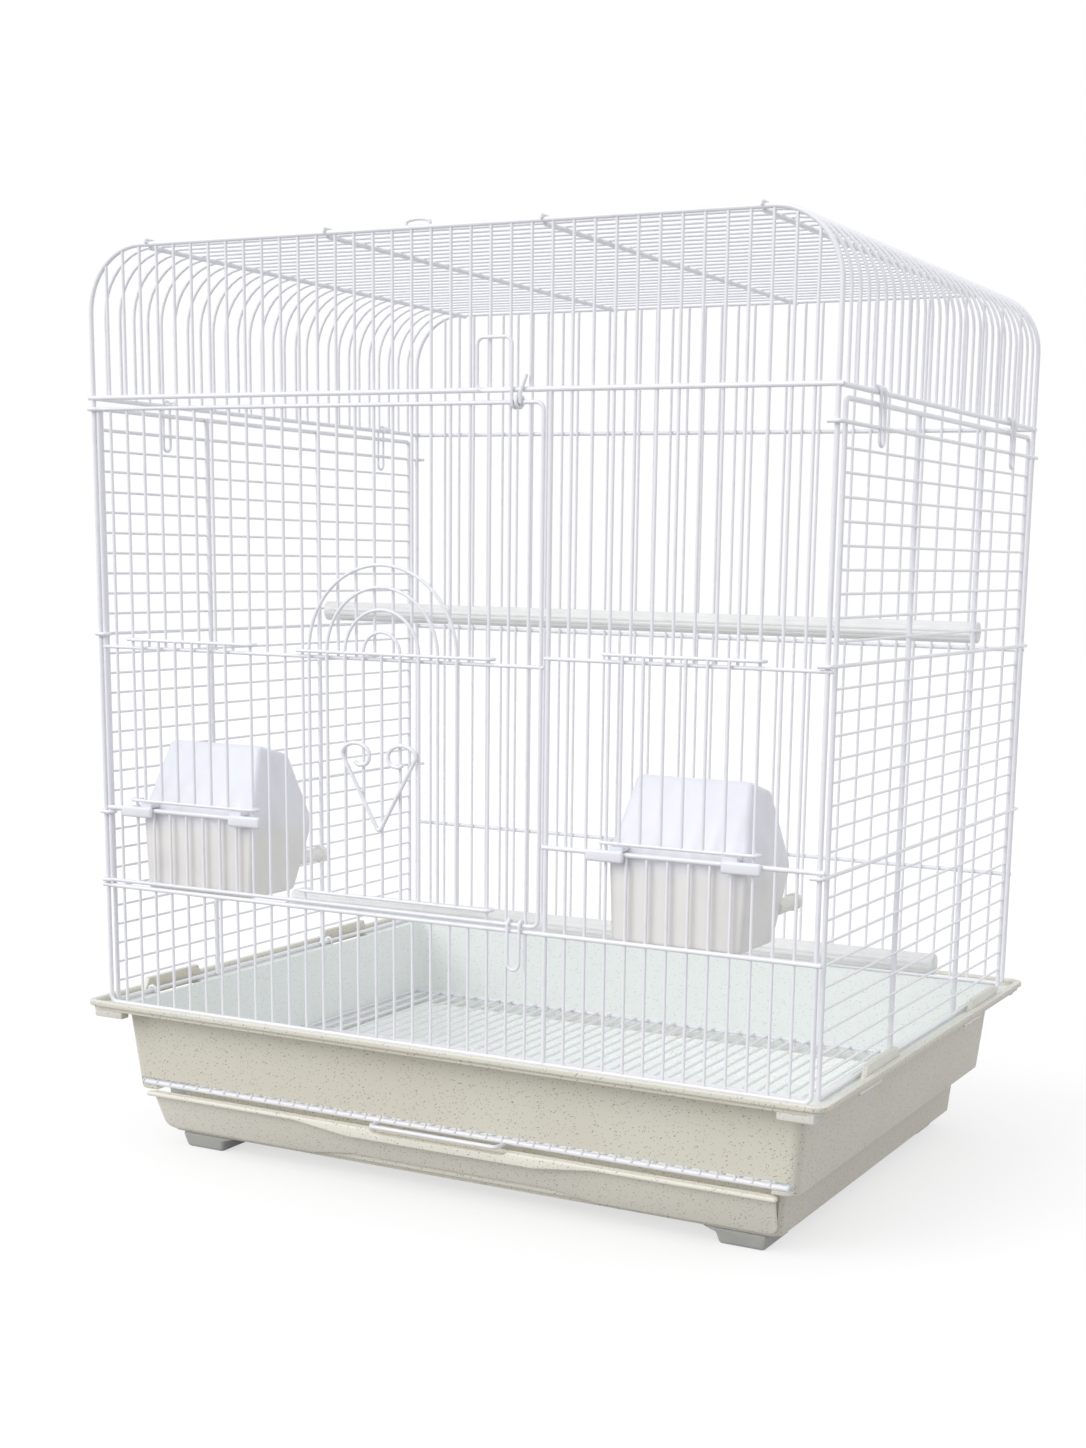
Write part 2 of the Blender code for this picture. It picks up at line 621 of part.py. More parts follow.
def make_grate():
    add_body("floor_grate", (0, GRATE_FRONT, up(-GRATE_DROP)))
    front, back = GRATE_FRONT, GRATE_BACK
    low = up(-GRATE_DROP) - WIRE / 2
    high = low + WIRE
    pitch = 2 * (GRATE_HALF - GRATE_WIRE / 2) / GRATE_GAPS
    bars = []
    for number in range(GRATE_GAPS + 1):
        x = -GRATE_HALF + GRATE_WIRE / 2 + pitch * number
        bars.append((x - GRATE_WIRE / 2, x + GRATE_WIRE / 2, front, back))
    bars.append((-GRATE_HALF, GRATE_HALF, front, front + GRATE_BAR))
    bars.append((-GRATE_HALF, GRATE_HALF, back - GRATE_BAR, back))
    from_bmesh("floor_grate", lattice(bars, level_plane, low, high), WHITE_WIRE, "floor_grate")

    across, tall = GRATE_CROSS_BAR
    cross = box((-GRATE_HALF, GRATE_CROSS - across / 2, high + CLEAR),
                (GRATE_HALF, GRATE_CROSS + across / 2, high + CLEAR + tall))
    from_bmesh("grate_cross_bar", cross, WHITE_WIRE, "floor_grate")

    near = front - CLEAR
    far = front - HANDLE_REACH
    handle = [(-HANDLE_HALF, -HANDLE_HALF + WIRE, far, near), (HANDLE_HALF - WIRE, HANDLE_HALF, far, near),
              (-HANDLE_HALF, HANDLE_HALF, far, far + WIRE)]
    from_bmesh("grate_handle", lattice(handle, level_plane, low, high), WHITE_WIRE, "floor_grate")


# Side panels


def make_side_panels():
    rear = HALF_DEPTH - SIDE_BACK_IN
    pitch = (up(SIDE_TOP) - BASE_BAR) / SIDE_GAPS
    reach = HALF_DEPTH - WIRE / 2 - CLEAR
    for side, name in ((1, "right"), (-1, "left")):
        front = FRONT + SIDE_FRONT_IN[name]
        bars = []
        for number in range(SIDE_GAPS + 1):
            height = BASE_BAR + pitch * number
            thick = BAR if number in (0, SIDE_GAPS) else SIDE_WIRE
            start, end = (-reach, reach) if number in SIDE_TIES else (front, rear)
            bars.append((start, end, height - thick / 2, height + thick / 2))
        for y in (front, rear):
            bars.append((y - BAR / 2, y + BAR / 2, FRAME_BASE, up(SIDE_TOP) + BAR / 2))
        x = side * HALF_WIDTH
        panel = lattice(bars, side_plane, x - SIDE_WIRE / 2, x + SIDE_WIRE / 2)
        from_bmesh(f"side_panel_{name}", panel, WHITE_WIRE)
        inner = x - side * (SIDE_WIRE / 2 + CLEAR + POST / 2)
        for number, y in enumerate((-SIDE_POST_FRONT, SIDE_POST_REAR), 1):
            bm = bmesh.new()
            add_prism(bm, arc((inner, side * y), POST / 2, 22.5, 382.5, 8)[:-1], level_plane,
                      FRAME_BASE, up(SIDE_TOP) + BAR / 2)
            from_bmesh(f"side_post_{name}_{number}", bm, WHITE_WIRE, smooth=True)


# Front and back panels


def make_front_lower_panel():
    top = up(STRIP_TOP)
    bars = uprights(range(1, FRONT_GAPS), FRAME_BASE, top)
    bars += uprights((0, FRONT_GAPS), FRAME_BASE, top + BAR / 2, BAR)
    bars.append(level(-HALF_WIDTH, HALF_WIDTH, BASE_BAR, BAR))
    bars.append(level(-HALF_WIDTH, HALF_WIDTH, top, BAR))
    from_bmesh("front_lower_panel", front_lattice(bars), WHITE_WIRE)


def make_door_post():
    bm = bmesh.new()
    add_prism(bm, arc((-HALF_WIDTH, FRONT), BAR / 2, 22.5, 382.5, 8)[:-1], level_plane,
              up(STRIP_TOP) + BAR / 2 + CLEAR, up(HOOD) - BAR / 2 - CLEAR)
    from_bmesh("door_hinge_post", bm, WHITE_WIRE, smooth=True)


def make_fixed_front():
    """The fixed part right of the big door, in four pieces round its cup opening."""
    low = up(STRIP_TOP) + BAR / 2 + CLEAR
    high = up(HOOD) - BAR / 2 - CLEAR
    sill = up(FEEDER_SILL)
    mid = up(FIXED_MID)
    below = mid - DOOR_BAR / 2 - CLEAR
    near, far = FEEDER_WIRES["right"]
    last = FRONT_GAPS

    bars = uprights(range(DOOR_LAST_WIRE + 1, last), mid, high)
    bars += uprights((DOOR_LAST_WIRE, last), mid - DOOR_BAR / 2, high, BAR)
    bars.append(level(upright(DOOR_LAST_WIRE), upright(last), mid, DOOR_BAR))
    from_bmesh("front_upper_panel", front_lattice(bars), WHITE_WIRE)

    for name, first, final, border in (("front_inner_strip", DOOR_LAST_WIRE, near, DOOR_LAST_WIRE),
                                       ("front_outer_strip", far, last, last)):
        bars = uprights([n for n in range(first, final + 1) if n != border], low, below)
        bars += uprights((border,), low, below, BAR)
        left = upright(first) if first == border else upright(first) - WIRE / 2
        right = upright(final) if final == border else upright(final) + WIRE / 2
        bars.append(level(left, right, sill, BAR))
        from_bmesh(name, front_lattice(bars), WHITE_WIRE)

    bars = uprights(range(near + 1, far), low, sill)
    bars.append(level(upright(near) + WIRE / 2 + CLEAR, upright(far) - WIRE / 2 - CLEAR, sill, BAR))
    from_bmesh("front_cup_sill", front_lattice(bars), WHITE_WIRE)


def make_front_hood():
    hood = up(HOOD)
    bars = [(upright(n) - WIRE / 2, upright(n) + WIRE / 2, hood, arch_height(upright(n)))
            for n in range(1, FRONT_GAPS)]
    bars.append(level(-HALF_WIDTH, HALF_WIDTH, hood, BAR))
    panel = from_bmesh("front_hood_panel", front_lattice(bars), WHITE_WIRE)
    bm = bmesh.new()
    add_ribbon(bm, arch_points(hood - BAR / 2 + 0.0001), BAR, front_plane, FRONT - BAR / 2, FRONT + BAR / 2)
    combine(panel, "UNION", helper("front_arch", bm))


def make_back_panel():
    back = HALF_DEPTH
    bars = [(upright(n) - WIRE / 2, upright(n) + WIRE / 2, FRAME_BASE, arch_height(upright(n)))
            for n in range(1, FRONT_GAPS)]
    bars.append(level(-HALF_WIDTH, HALF_WIDTH, BASE_BAR, BAR))
    panel = from_bmesh("back_panel", lattice(bars, front_plane, back - WIRE / 2, back + WIRE / 2), WHITE_WIRE)
    bm = bmesh.new()
    add_ribbon(bm, arch_points(FRAME_BASE + 0.0001), BAR, front_plane, back - BAR / 2, back + BAR / 2)
    combine(panel, "UNION", helper("back_arch", bm))
    near = back + BAR / 2 + CLEAR
    for name, height in BACK_RAILS.items():
        rail = box((-HALF_WIDTH, near, up(height) - BAR / 2), (HALF_WIDTH, near + BAR, up(height) + BAR / 2))
        from_bmesh(name, rail, WHITE_WIRE)


# Roof


def make_roof():
    hoops = bmesh.new()
    side_bar = up(HOOD)
    radius = ARCH_RADIUS - WIRE / 2
    top = up(ROOF_TOP) - WIRE / 2
    half = HALF_WIDTH
    line = [(half, side_bar)]
    line += arc((half - radius, top - radius), radius, 0, 90, 3)
    line += arc((radius - half, top - radius), radius, 90, 180, 3)
    line.append((-half, side_bar))
    for number in range(1, DEPTH_GAPS):
        y = FRONT + DEPTH_PITCH * number
        add_ribbon(hoops, line, WIRE, front_plane, y - WIRE / 2, y + WIRE / 2)
    end = HALF_DEPTH - BAR / 2 - CLEAR
    bars = bmesh.new()
    for x in (-half, half):
        add_prism(bars, [(x - BAR / 2, -end), (x + BAR / 2, -end), (x + BAR / 2, end), (x - BAR / 2, end)],
                  level_plane, side_bar - BAR / 2, side_bar + BAR / 2)
    roof = from_bmesh("roof_panel", hoops, WHITE_WIRE)
    combine(roof, "UNION", helper("roof_side_bars", bars))

    high = up(ROOF_TOP) - WIRE - CLEAR
    number = 0
    for side in (-1, 1):
        for place in SUPPORT_PLACES:
            number += 1
            x = side * FRONT_PITCH * place
            bm = box((x - SUPPORT / 2, -end, high - SUPPORT), (x + SUPPORT / 2, end, high))
            from_bmesh(f"roof_support_{number}", bm, WHITE_WIRE)


def make_hanging_loop():
    foot = up(ROOF_TOP) + CLEAR
    bm = bmesh.new()
    left, right = LOOP_SHIFT - LOOP_WIDTH / 2, LOOP_SHIFT + LOOP_WIDTH / 2
    line = [(left, foot)]
    line += arc((left + LOOP_CORNER, foot + LOOP_RISE - LOOP_CORNER), LOOP_CORNER, 180, 90, 3)
    line += arc((right - LOOP_CORNER, foot + LOOP_RISE - LOOP_CORNER), LOOP_CORNER, 90, 0, 3)
    line.append((right, foot))
    add_ribbon(bm, line, LATCH_WIRE, front_plane, FRONT - LATCH_WIRE / 2, FRONT + LATCH_WIRE / 2)
    from_bmesh("hanging_loop", bm, WHITE_WIRE)


def make_perches():
    inner = HALF_WIDTH - SIDE_WIRE / 2 - CLEAR - PERCH_END_GAP
    for name, (left_y, right_y, height) in PERCHES.items():
        left = -inner + (UPPER_PERCH_SHORT if name == "upper_perch" else 0)
        start = Vector((left, left_y, up(height)))
        end = Vector((inner, right_y, up(height)))
        wire(name, [start, end], PERCH_RADIUS * 2, PERCH_WHITE, resolution=4)


# Big door


def make_big_door():
    add_body("big_door", (-HALF_WIDTH, FRONT, up(DOOR_BASE)))
    base = up(DOOR_BASE)
    mid = up(DOOR_MID)
    top = up(DOOR_TOP)
    sill = up(FEEDER_SILL)
    below = mid - DOOR_BAR / 2 - CLEAR
    left = -HALF_WIDTH + DOOR_LEFT_EDGE
    right = DOOR_RIGHT
    loop_end = -HALF_WIDTH + (LOOP_BORE + LOOP_OUT) / 2
    first, cup_end = FEEDER_WIRES["left"]
    small_start, small_end = SMALL_DOOR_WIRES

    def border(x, low, high):
        return (x - BAR / 2, x + BAR / 2, low, high)

    def hinge_loop(name, height):
        bm = bmesh.new()
        low = height - LOOP_HEIGHT / 2
        add_loop(bm, (-HALF_WIDTH, FRONT), LOOP_BORE, LOOP_OUT, low, low + LOOP_HEIGHT)
        return helper(name, bm)

    bars = uprights(range(1, DOOR_LAST_WIRE), mid, top)
    bars += [border(x, mid - DOOR_BAR / 2, top + DOOR_BAR / 2) for x in (left, right)]
    bars += [level(left, right, mid, DOOR_BAR), level(loop_end, right, top, DOOR_BAR)]
    panel = from_bmesh("door_upper_panel", front_lattice(bars), WHITE_WIRE, "big_door")
    combine(panel, "UNION", hinge_loop("top_hinge_loop", top))

    bars = uprights(range(1, first + 1), base - DOOR_BAR / 2, below)
    bars.append(border(left, base - DOOR_BAR / 2, below))
    bars.append(level(loop_end, upright(first) + WIRE / 2, base, DOOR_BAR))
    bars.append(level(left, upright(first), sill, BAR))
    strip = from_bmesh("door_left_strip", front_lattice(bars), WHITE_WIRE, "big_door")
    combine(strip, "UNION", hinge_loop("bottom_hinge_loop", base))

    near = upright(first) + WIRE / 2 + CLEAR
    far = upright(cup_end) - WIRE / 2 - CLEAR
    bars = uprights(range(first + 1, cup_end), base, sill)
    bars += [level(near, far, base, DOOR_BAR), level(near, far, sill, BAR)]
    from_bmesh("door_cup_sill", front_lattice(bars), WHITE_WIRE, "big_door")

    bars = uprights(range(cup_end, small_start + 1), base - DOOR_BAR / 2, below)
    bars.append(level(upright(cup_end), upright(small_start), base, DOOR_BAR))
    from_bmesh("door_middle_strip", front_lattice(bars), WHITE_WIRE, "big_door")

    near = upright(small_start) + WIRE / 2 + CLEAR
    far = upright(small_end) - WIRE / 2 - CLEAR
    from_bmesh("door_sill", front_lattice([level(near, far, base, DOOR_BAR)]), WHITE_WIRE, "big_door")

    bars = uprights(range(small_end, DOOR_LAST_WIRE), base - DOOR_BAR / 2, below)
    bars.append(border(right, base - DOOR_BAR / 2, below))
    bars.append(level(upright(small_end), right, base, DOOR_BAR))
    from_bmesh("door_right_strip", front_lattice(bars), WHITE_WIRE, "big_door")


def slide_lattice(bars):
    return lattice(bars, front_plane, SLIDE_PLANE - SLIDE_WIRE / 2, SLIDE_PLANE + SLIDE_WIRE / 2)


def guide_loops(name, wires, heights):
    """Loops of a sliding door round its two guide wires."""
    bm = bmesh.new()
    for number in wires:
        for height in heights:
            add_loop(bm, (upright(number), FRONT), LOOP_BORE, LOOP_OUT,
                     height - LOOP_HEIGHT / 2, height + LOOP_HEIGHT / 2)
    return helper(name, bm)


def make_small_door():
    add_body("small_door", (SMALL_MID, SLIDE_PLANE, up(SMALL_BASE)))
    base = up(SMALL_BASE)
    bar = up(SMALL_BAR)
    near, far = (upright(n) for n in SMALL_DOOR_WIRES)
    half = SLIDE_WIRE / 2
    bars = []
    for number in range(-SMALL_ARCHES, SMALL_ARCHES + 1):
        x = SMALL_MID + SMALL_PITCH * number
        bars.append((x - half, x + half, base, bar))
    bars.append(level(near - SMALL_REACH, far + SMALL_REACH, bar, DOOR_BAR))
    bars.append(level(near, far, base, DOOR_BAR))
    door = from_bmesh("small_door", slide_lattice(bars), WHITE_WIRE, "small_door")
    arches = bmesh.new()
    depth = LOOP_HEIGHT / 2
    for number in range(1, SMALL_ARCHES + 1):
        line = arc((SMALL_MID, bar), SMALL_PITCH * number, 0, 180, 4 + 2 * number)
        add_ribbon(arches, line, SLIDE_WIRE, front_plane, SLIDE_PLANE - depth, SLIDE_PLANE + depth)
    combine(door, "UNION", helper("small_door_arches", arches),
            guide_loops("small_door_loops", SMALL_DOOR_WIRES, (base, bar)))


def make_heart():
    """Two straight legs from a tip, each curling over at the top."""
    plane = SLIDE_PLANE - SLIDE_WIRE / 2 - CLEAR - HEART_WIRE / 2
    middle = SMALL_MID + HEART_SHIFT
    tip = (middle, up(SMALL_BASE + HEART_RISE))
    centre = (middle + HEART_CURL_X, tip[1] + HEART_CURL_Z)
    reach = math.dist(tip, centre)
    lean = math.degrees(math.atan2(centre[1] - tip[1], centre[0] - tip[0]))
    start = lean - 90 + math.degrees(math.asin(HEART_CURL / reach))
    right = arc(centre, HEART_CURL, start, HEART_CURL_END, 12)
    left = [(2 * middle - x, z) for x, z in right]
    line = left[::-1] + [tip] + right
    wire("heart_ornament", [(x, plane, z) for x, z in line], HEART_WIRE, WHITE_WIRE, "small_door")


def make_feeder_doors():
    half = SLIDE_WIRE / 2
    base = up(FEEDER_SILL + FEEDER_LIFT)
    for side, guides in FEEDER_WIRES.items():
        name = f"feeder_door_{side}"
        add_body(name, ((upright(guides[0]) + upright(guides[1])) / 2, SLIDE_PLANE, base))
        near, far = (upright(n) for n in guides)
        top = up(FEEDER_TOP[side])
        bars = []
        for number in range(FEEDER_BARS):
            x = near + FEEDER_FIRST + FEEDER_BAR_PITCH * number
            bars.append((x - half, x + half, base, top))
        for height in (base, top):
            bars.append(level(near - FEEDER_REACH, far + FEEDER_REACH, height, DOOR_BAR))
        door = from_bmesh(name, slide_lattice(bars), WHITE_WIRE, name)
        combine(door, "UNION", guide_loops(name + "_loops", guides, (base, top)))


# Cups


def cup_outline(inset, open_back=0):
    """Side view of a cup as (y, z, half width), pulled in by a wall's thickness."""
    rows = (
        (CUP_FRONT, CUP_BASE, CUP_HALF_BASE),
        (CUP_FRONT, CUP_BROW, CUP_HALF),
        (CUP_HOOD_FRONT, CUP_HOOD, CUP_HALF_HOOD),
        (CUP_HOOD_BACK, CUP_HOOD, CUP_HALF_HOOD),
        (CUP_BULGE_BACK, CUP_BULGE, CUP_HALF),
        (CUP_BASE_BACK, CUP_BASE, CUP_HALF_BASE),
    )
    points = [Vector((FRONT + y, up(z))) for y, z, _ in rows]
    widths = [half - inset for _, _, half in rows]
    if not inset:
        return [(p.x, p.y, w) for p, w in zip(points, widths)]
    pulled = []
    count = len(points)
    for i, point in enumerate(points):
        before = (point - points[i - 1]).normalized()
        after = (points[(i + 1) % count] - point).normalized()
        normal = (Vector((before.y, -before.x)) + Vector((after.y, -after.x))).normalized()
        reach = inset / normal.dot(Vector((after.y, -after.x)))
        pulled.append(point + normal * reach)
    pulled[3] = pulled[3] + Vector((open_back, 0))
    pulled[4] = pulled[4] + (points[4] - points[5]).normalized() * open_back
    return [(p.x, p.y, w) for p, w in zip(pulled, widths)]


def add_cup_solid(bm, middle, outline):
    rings = [[(middle + sign * half, y, z) for y, z, half in outline] for sign in (-1, 1)]
    add_loft(bm, rings)
    bmesh.ops.triangulate(bm, faces=bm.faces)


def make_cups():
    sill_top = up(FEEDER_SILL) + BAR / 2 + CLEAR
    wire_face = FRONT - WIRE / 2 - CLEAR
    ear_width, ear_thick, ear_height = EAR
    arm_width, arm_height = EAR_ARM
    for side, guides in FEEDER_WIRES.items():
        near, far = (upright(n) for n in guides)
        middle = (near + far) / 2
        body = "big_door" if side == "left" else None
        bm = bmesh.new()
        add_cup_solid(bm, middle, cup_outline(0))
        cup = from_bmesh(f"feeder_cup_{side}", bm, CUP_WHITE, body)
        hollow = bmesh.new()
        add_cup_solid(hollow, middle, cup_outline(CUP_WALL, CUP_MOUTH_PAST))
        combine(cup, "DIFFERENCE", helper(f"cup_hollow_{side}", hollow))
        parts = []
        for sign in (-1, 1):
            centre = middle + sign * EAR_SPREAD
            plate = box((centre - ear_width / 2, wire_face - ear_thick, sill_top + arm_height - ear_height),
                        (centre + ear_width / 2, wire_face, sill_top + arm_height))
            inner = middle + sign * (EAR_SPREAD - ear_width / 2 + ARM_SINK)
            outer = inner + sign * arm_width
            arm = box((min(inner, outer), wire_face - ear_thick / 2, sill_top),
                      (max(inner, outer), FRONT + CUP_FRONT + CUP_WALL - ARM_SINK,
                       sill_top + arm_height - ARM_SINK / 2))
            parts += [helper(f"ear_{side}_{sign}", plate), helper(f"arm_{side}_{sign}", arm)]
        combine(cup, "UNION", *parts)
        make_peg(side, middle, body)


def make_peg(side, middle, body):
    """A round peg on the sloping back of a cup."""
    offset, height = PEG_PLACE
    rise = CUP_BULGE - CUP_BASE
    lean = (CUP_BULGE_BACK - CUP_BASE_BACK) / rise
    near, far = [], []
    for x, z in arc((middle + offset, height), PEG, 0, 360, 12)[:-1]:
        face = FRONT + CUP_BASE_BACK + (z - CUP_BASE) * lean
        near.append((x, face + CLEAR * math.hypot(1, lean), up(z)))
        far.append((x, FRONT + CUP_BASE_BACK + (height - CUP_BASE) * lean + PEG_OUT, up(z)))
    bm = bmesh.new()
    add_loft(bm, [near, far])
    from_bmesh(f"cup_peg_{side}", bm, CREAM, body, smooth=True)


# Latches and clips


def least_gap(points, thickness, apart):
    """Smallest gap of a bent wire to itself, between points that are at least so many steps apart."""
    pairs = [(i, j) for i in range(len(points)) for j in range(i + apart, len(points))]
    return min(math.dist(points[i], points[j]) for i, j in pairs) - thickness


def make_top_latch():
    """Coiled round the door's top bar, with a handle in front of the hood."""
    axis = up(DOOR_TOP)
    plane = FRONT - LATCH_COIL
    left, right = (DOOR_RIGHT - inside for inside in TOP_LATCH_IN)
    add_body("top_latch", (right, FRONT, axis))
    corner = TOP_LATCH_CORNER
    foot = axis + TOP_LATCH_FOOT[1]
    tip = axis + TOP_LATCH_RISE - LATCH_WIRE / 2
    line = [(right - TOP_LATCH_FOOT[0], foot)]
    line += arc((left + corner, foot + corner), corner, 270, 180, 3)
    line += arc((left + corner, tip - corner), corner, 180, 90, 3)
    line += arc((right - corner, tip - corner), corner, 90, 0, 3)
    points = [(x, plane, z) for x, z in line]
    coil = []
    for i in range(TOP_COIL_STEPS * TOP_COIL_TURNS + 1):
        angle = math.radians(180 + 360 * i / TOP_COIL_STEPS)
        x = right + TOP_COIL_PITCH * i / TOP_COIL_STEPS
        coil.append((x, FRONT + LATCH_COIL * math.cos(angle), axis + LATCH_COIL * math.sin(angle)))
    gap = least_gap(coil, LATCH_WIRE, TOP_COIL_STEPS // 2 + 1)
    print(f"coil of the top latch: least gap to itself {gap * 1000:.2f} mm")
    points += coil
    points.append((coil[-1][0], plane, axis + TOP_TAIL_RISE))
    wire("top_latch", points, LATCH_WIRE, WHITE_WIRE, "top_latch")


def make_bottom_latch():
    """A narrow loop that hangs from the door's lowest bar, in front of the strip."""
    axis = up(DOOR_BASE)
    left, right = (DOOR_RIGHT - inside for inside in BOTTOM_LATCH_IN)
    add_body("bottom_latch", (left, FRONT, axis))
    radius = (right - left) / 2
    plane = FRONT - LATCH_COIL

    def over(x, angles):
        ring = []
        for angle in angles:
            turned = math.radians(angle)
            ring.append((x, FRONT + LATCH_COIL * math.cos(turned), axis + LATCH_COIL * math.sin(turned)))
        return ring

    points = over(left, (45, 90, 135, 180))
    tip = axis - BOTTOM_LATCH_DROP + LATCH_WIRE / 2
    for x, z in arc((left + radius, tip + radius), radius, 180, 360, 6):
        points.append((x, plane, z))
    points += over(right, (180, 135, 90, 45))
    wire("bottom_latch", points, LATCH_WIRE, WHITE_WIRE, "bottom_latch")


def make_hood_clips():
    """A wire clip hung over the roof's side bar, with two legs outside the side panel."""
    axis_z = up(HOOD)
    reach = BAR / 2 * math.sqrt(2) + CLEAR / 2 + LATCH_WIRE / 2
    number = 0
    for side, name in ((1, "right"), (-1, "left")):
        for gap in CLIP_GAPS[name]:
            number += 1
            y = FRONT + DEPTH_PITCH * (gap + 0.5)
            clip = f"hood_clip_{number}"
            add_body(clip, (side * HALF_WIDTH, y, axis_z))

            def over(at, angles):
                return [(side * (HALF_WIDTH + reach * math.cos(math.radians(a))), at,
                         axis_z + reach * math.sin(math.radians(a))) for a in angles]

            half = CLIP_SPREAD / 2
            outer = side * (HALF_WIDTH + reach)
            tip = axis_z - CLIP_DROP
            points = over(y - half, (170, 130, 90, 45, 0))
            points += [(outer, at, z) for at, z in arc((y, tip + half), half, 180, 360, 4)]
            points += over(y + half, (0, 45, 90, 130, 170))
            wire(clip, points, LATCH_WIRE, WHITE_WIRE, clip)


for item in list(bpy.data.objects):
    bpy.data.objects.remove(item)

make_tub()
make_feet()
make_base_hooks()
make_drawer()
make_grate()
make_side_panels()
make_front_lower_panel()
make_door_post()
make_fixed_front()
make_front_hood()
make_back_panel()
make_roof()
make_hanging_loop()
make_perches()
make_big_door()
make_small_door()
make_heart()
make_feeder_doors()
make_cups()
make_top_latch()
make_bottom_latch()
make_hood_clips()
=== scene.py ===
import math

import bmesh
import bpy
from mathutils import Matrix, Vector


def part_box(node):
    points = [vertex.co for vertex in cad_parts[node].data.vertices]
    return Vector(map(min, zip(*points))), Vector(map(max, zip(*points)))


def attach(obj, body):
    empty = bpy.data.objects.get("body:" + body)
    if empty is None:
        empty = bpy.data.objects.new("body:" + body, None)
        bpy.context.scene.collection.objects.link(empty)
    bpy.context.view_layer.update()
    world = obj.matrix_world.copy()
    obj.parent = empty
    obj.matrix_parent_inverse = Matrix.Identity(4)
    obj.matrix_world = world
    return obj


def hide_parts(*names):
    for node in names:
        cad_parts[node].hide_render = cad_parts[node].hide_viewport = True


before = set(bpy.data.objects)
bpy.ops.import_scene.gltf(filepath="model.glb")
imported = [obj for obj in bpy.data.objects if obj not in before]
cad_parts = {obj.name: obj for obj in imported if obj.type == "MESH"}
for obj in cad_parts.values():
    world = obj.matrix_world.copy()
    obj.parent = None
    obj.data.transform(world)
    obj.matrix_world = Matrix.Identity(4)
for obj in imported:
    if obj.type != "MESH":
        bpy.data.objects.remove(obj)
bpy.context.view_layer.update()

# A flat top bird cage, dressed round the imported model. Metres, +Z up, -Y is the side with the doors.

right = Vector((1, 0, 0))
back = Vector((0, 1, 0))
upward = Vector((0, 0, 1))
gap = 0.0003                   # between pieces that touch
close = 0.001                  # how near a point must lie to be picked with a level or an edge


# Camera

view = {
    "place": (0.55487, -1.04647, 0.3496),
    "yaw": 0.460,              # radians, turned to the left
    "pitch": 0.196,            # looking down
    "roll": 0.0206,
    "focalPixels": 1999.87,
    "centre": (629.8, 952.16),
    "picture": (1086, 1448),
}


def addCamera():
    width, height = view["picture"]
    bpy.ops.object.camera_add(location=view["place"])
    camera = bpy.context.object
    camera.name = "photoCamera"
    turned = Matrix.Rotation(view["yaw"], 3, "Z") @ Matrix.Rotation(math.pi / 2 - view["pitch"], 3, "X")
    camera.rotation_euler = (turned @ Matrix.Rotation(view["roll"], 3, "Z")).to_euler()
    lens = camera.data
    lens.sensor_width = 36
    lens.lens = view["focalPixels"] * lens.sensor_width / height
    lens.shift_x = (width / 2 - view["centre"][0]) / height
    lens.shift_y = (view["centre"][1] - height / 2) / height
    lens.clip_start, lens.clip_end = 0.01, 50
    bpy.context.scene.camera = camera


# Working tools

def deselectAll():
    bpy.ops.object.select_all(action="DESELECT")


def pick(item):
    deselectAll()
    item.select_set(True)
    bpy.context.view_layer.objects.active = item


def openMesh(item):
    pick(item)
    bpy.ops.object.mode_set(mode="EDIT")


def closeMesh():
    bpy.ops.object.mode_set(mode="OBJECT")


def applyModifiers(item):
    pick(item)
    for modifier in list(item.modifiers):
        bpy.ops.object.modifier_apply(modifier=modifier.name)


def settle(item):
    pick(item)
    bpy.ops.object.transform_apply(location=True, rotation=True, scale=True)
    return item


def joinParts(parts):
    pick(parts[0])
    for part in parts[1:]:
        part.select_set(True)
    if len(parts) > 1:
        bpy.ops.object.join()
    return parts[0]


def combine(item, other, operation):
    boolean = item.modifiers.new(operation.lower(), "BOOLEAN")
    boolean.operation = operation
    boolean.object = other
    applyModifiers(item)
    bpy.data.objects.remove(other)
    return item


def clearSelection(item, kind):
    bpy.ops.mesh.select_mode(type=kind)
    bpy.ops.mesh.select_all(action="DESELECT")
    return bmesh.from_edit_mesh(item.data)


def selectFaces(item, test):
    # in edit mode: selects the faces whose middle and normal pass the test
    for face in clearSelection(item, "FACE").faces:
        if test(face.calc_center_median(), face.normal):
            face.select_set(True)
    bmesh.update_edit_mesh(item.data)


def selectPoints(item, test):
    shape = clearSelection(item, "VERT")
    for point in shape.verts:
        if test(point.co):
            point.select_set(True)
    shape.select_flush(True)
    bmesh.update_edit_mesh(item.data)


def movePoints(item, test, value):
    selectPoints(item, test)
    bpy.ops.transform.translate(value=value)


def scalePoints(item, test, value, centre):
    selectPoints(item, test)
    bpy.ops.transform.resize(value=value, center_override=centre)


def cutAcross(direction, distance):
    # in edit mode: a new ring of edges where a plane meets the piece
    bpy.ops.mesh.select_all(action="SELECT")
    bpy.ops.mesh.bisect(plane_co=direction * distance, plane_no=direction)


def softenEdges(item, width, segments=2, angle=40):
    bevel = item.modifiers.new("softEdges", "BEVEL")
    bevel.width = width
    bevel.segments = segments
    bevel.limit_method = "ANGLE"
    bevel.angle_limit = math.radians(angle)
    applyModifiers(item)
    return item


def block(corner, opposite):
    low, high = Vector(map(min, corner, opposite)), Vector(map(max, corner, opposite))
    deselectAll()
    bpy.ops.mesh.primitive_cube_add(size=1, location=(low + high) / 2)
    item = bpy.context.object
    item.scale = high - low
    return settle(item)


def repaint(item, look, test):
    # the faces whose middle and normal pass the test get another material
    item.data.materials.append(look)
    for face in item.data.polygons:
        if test(face.center, face.normal):
            face.material_index = len(item.data.materials) - 1


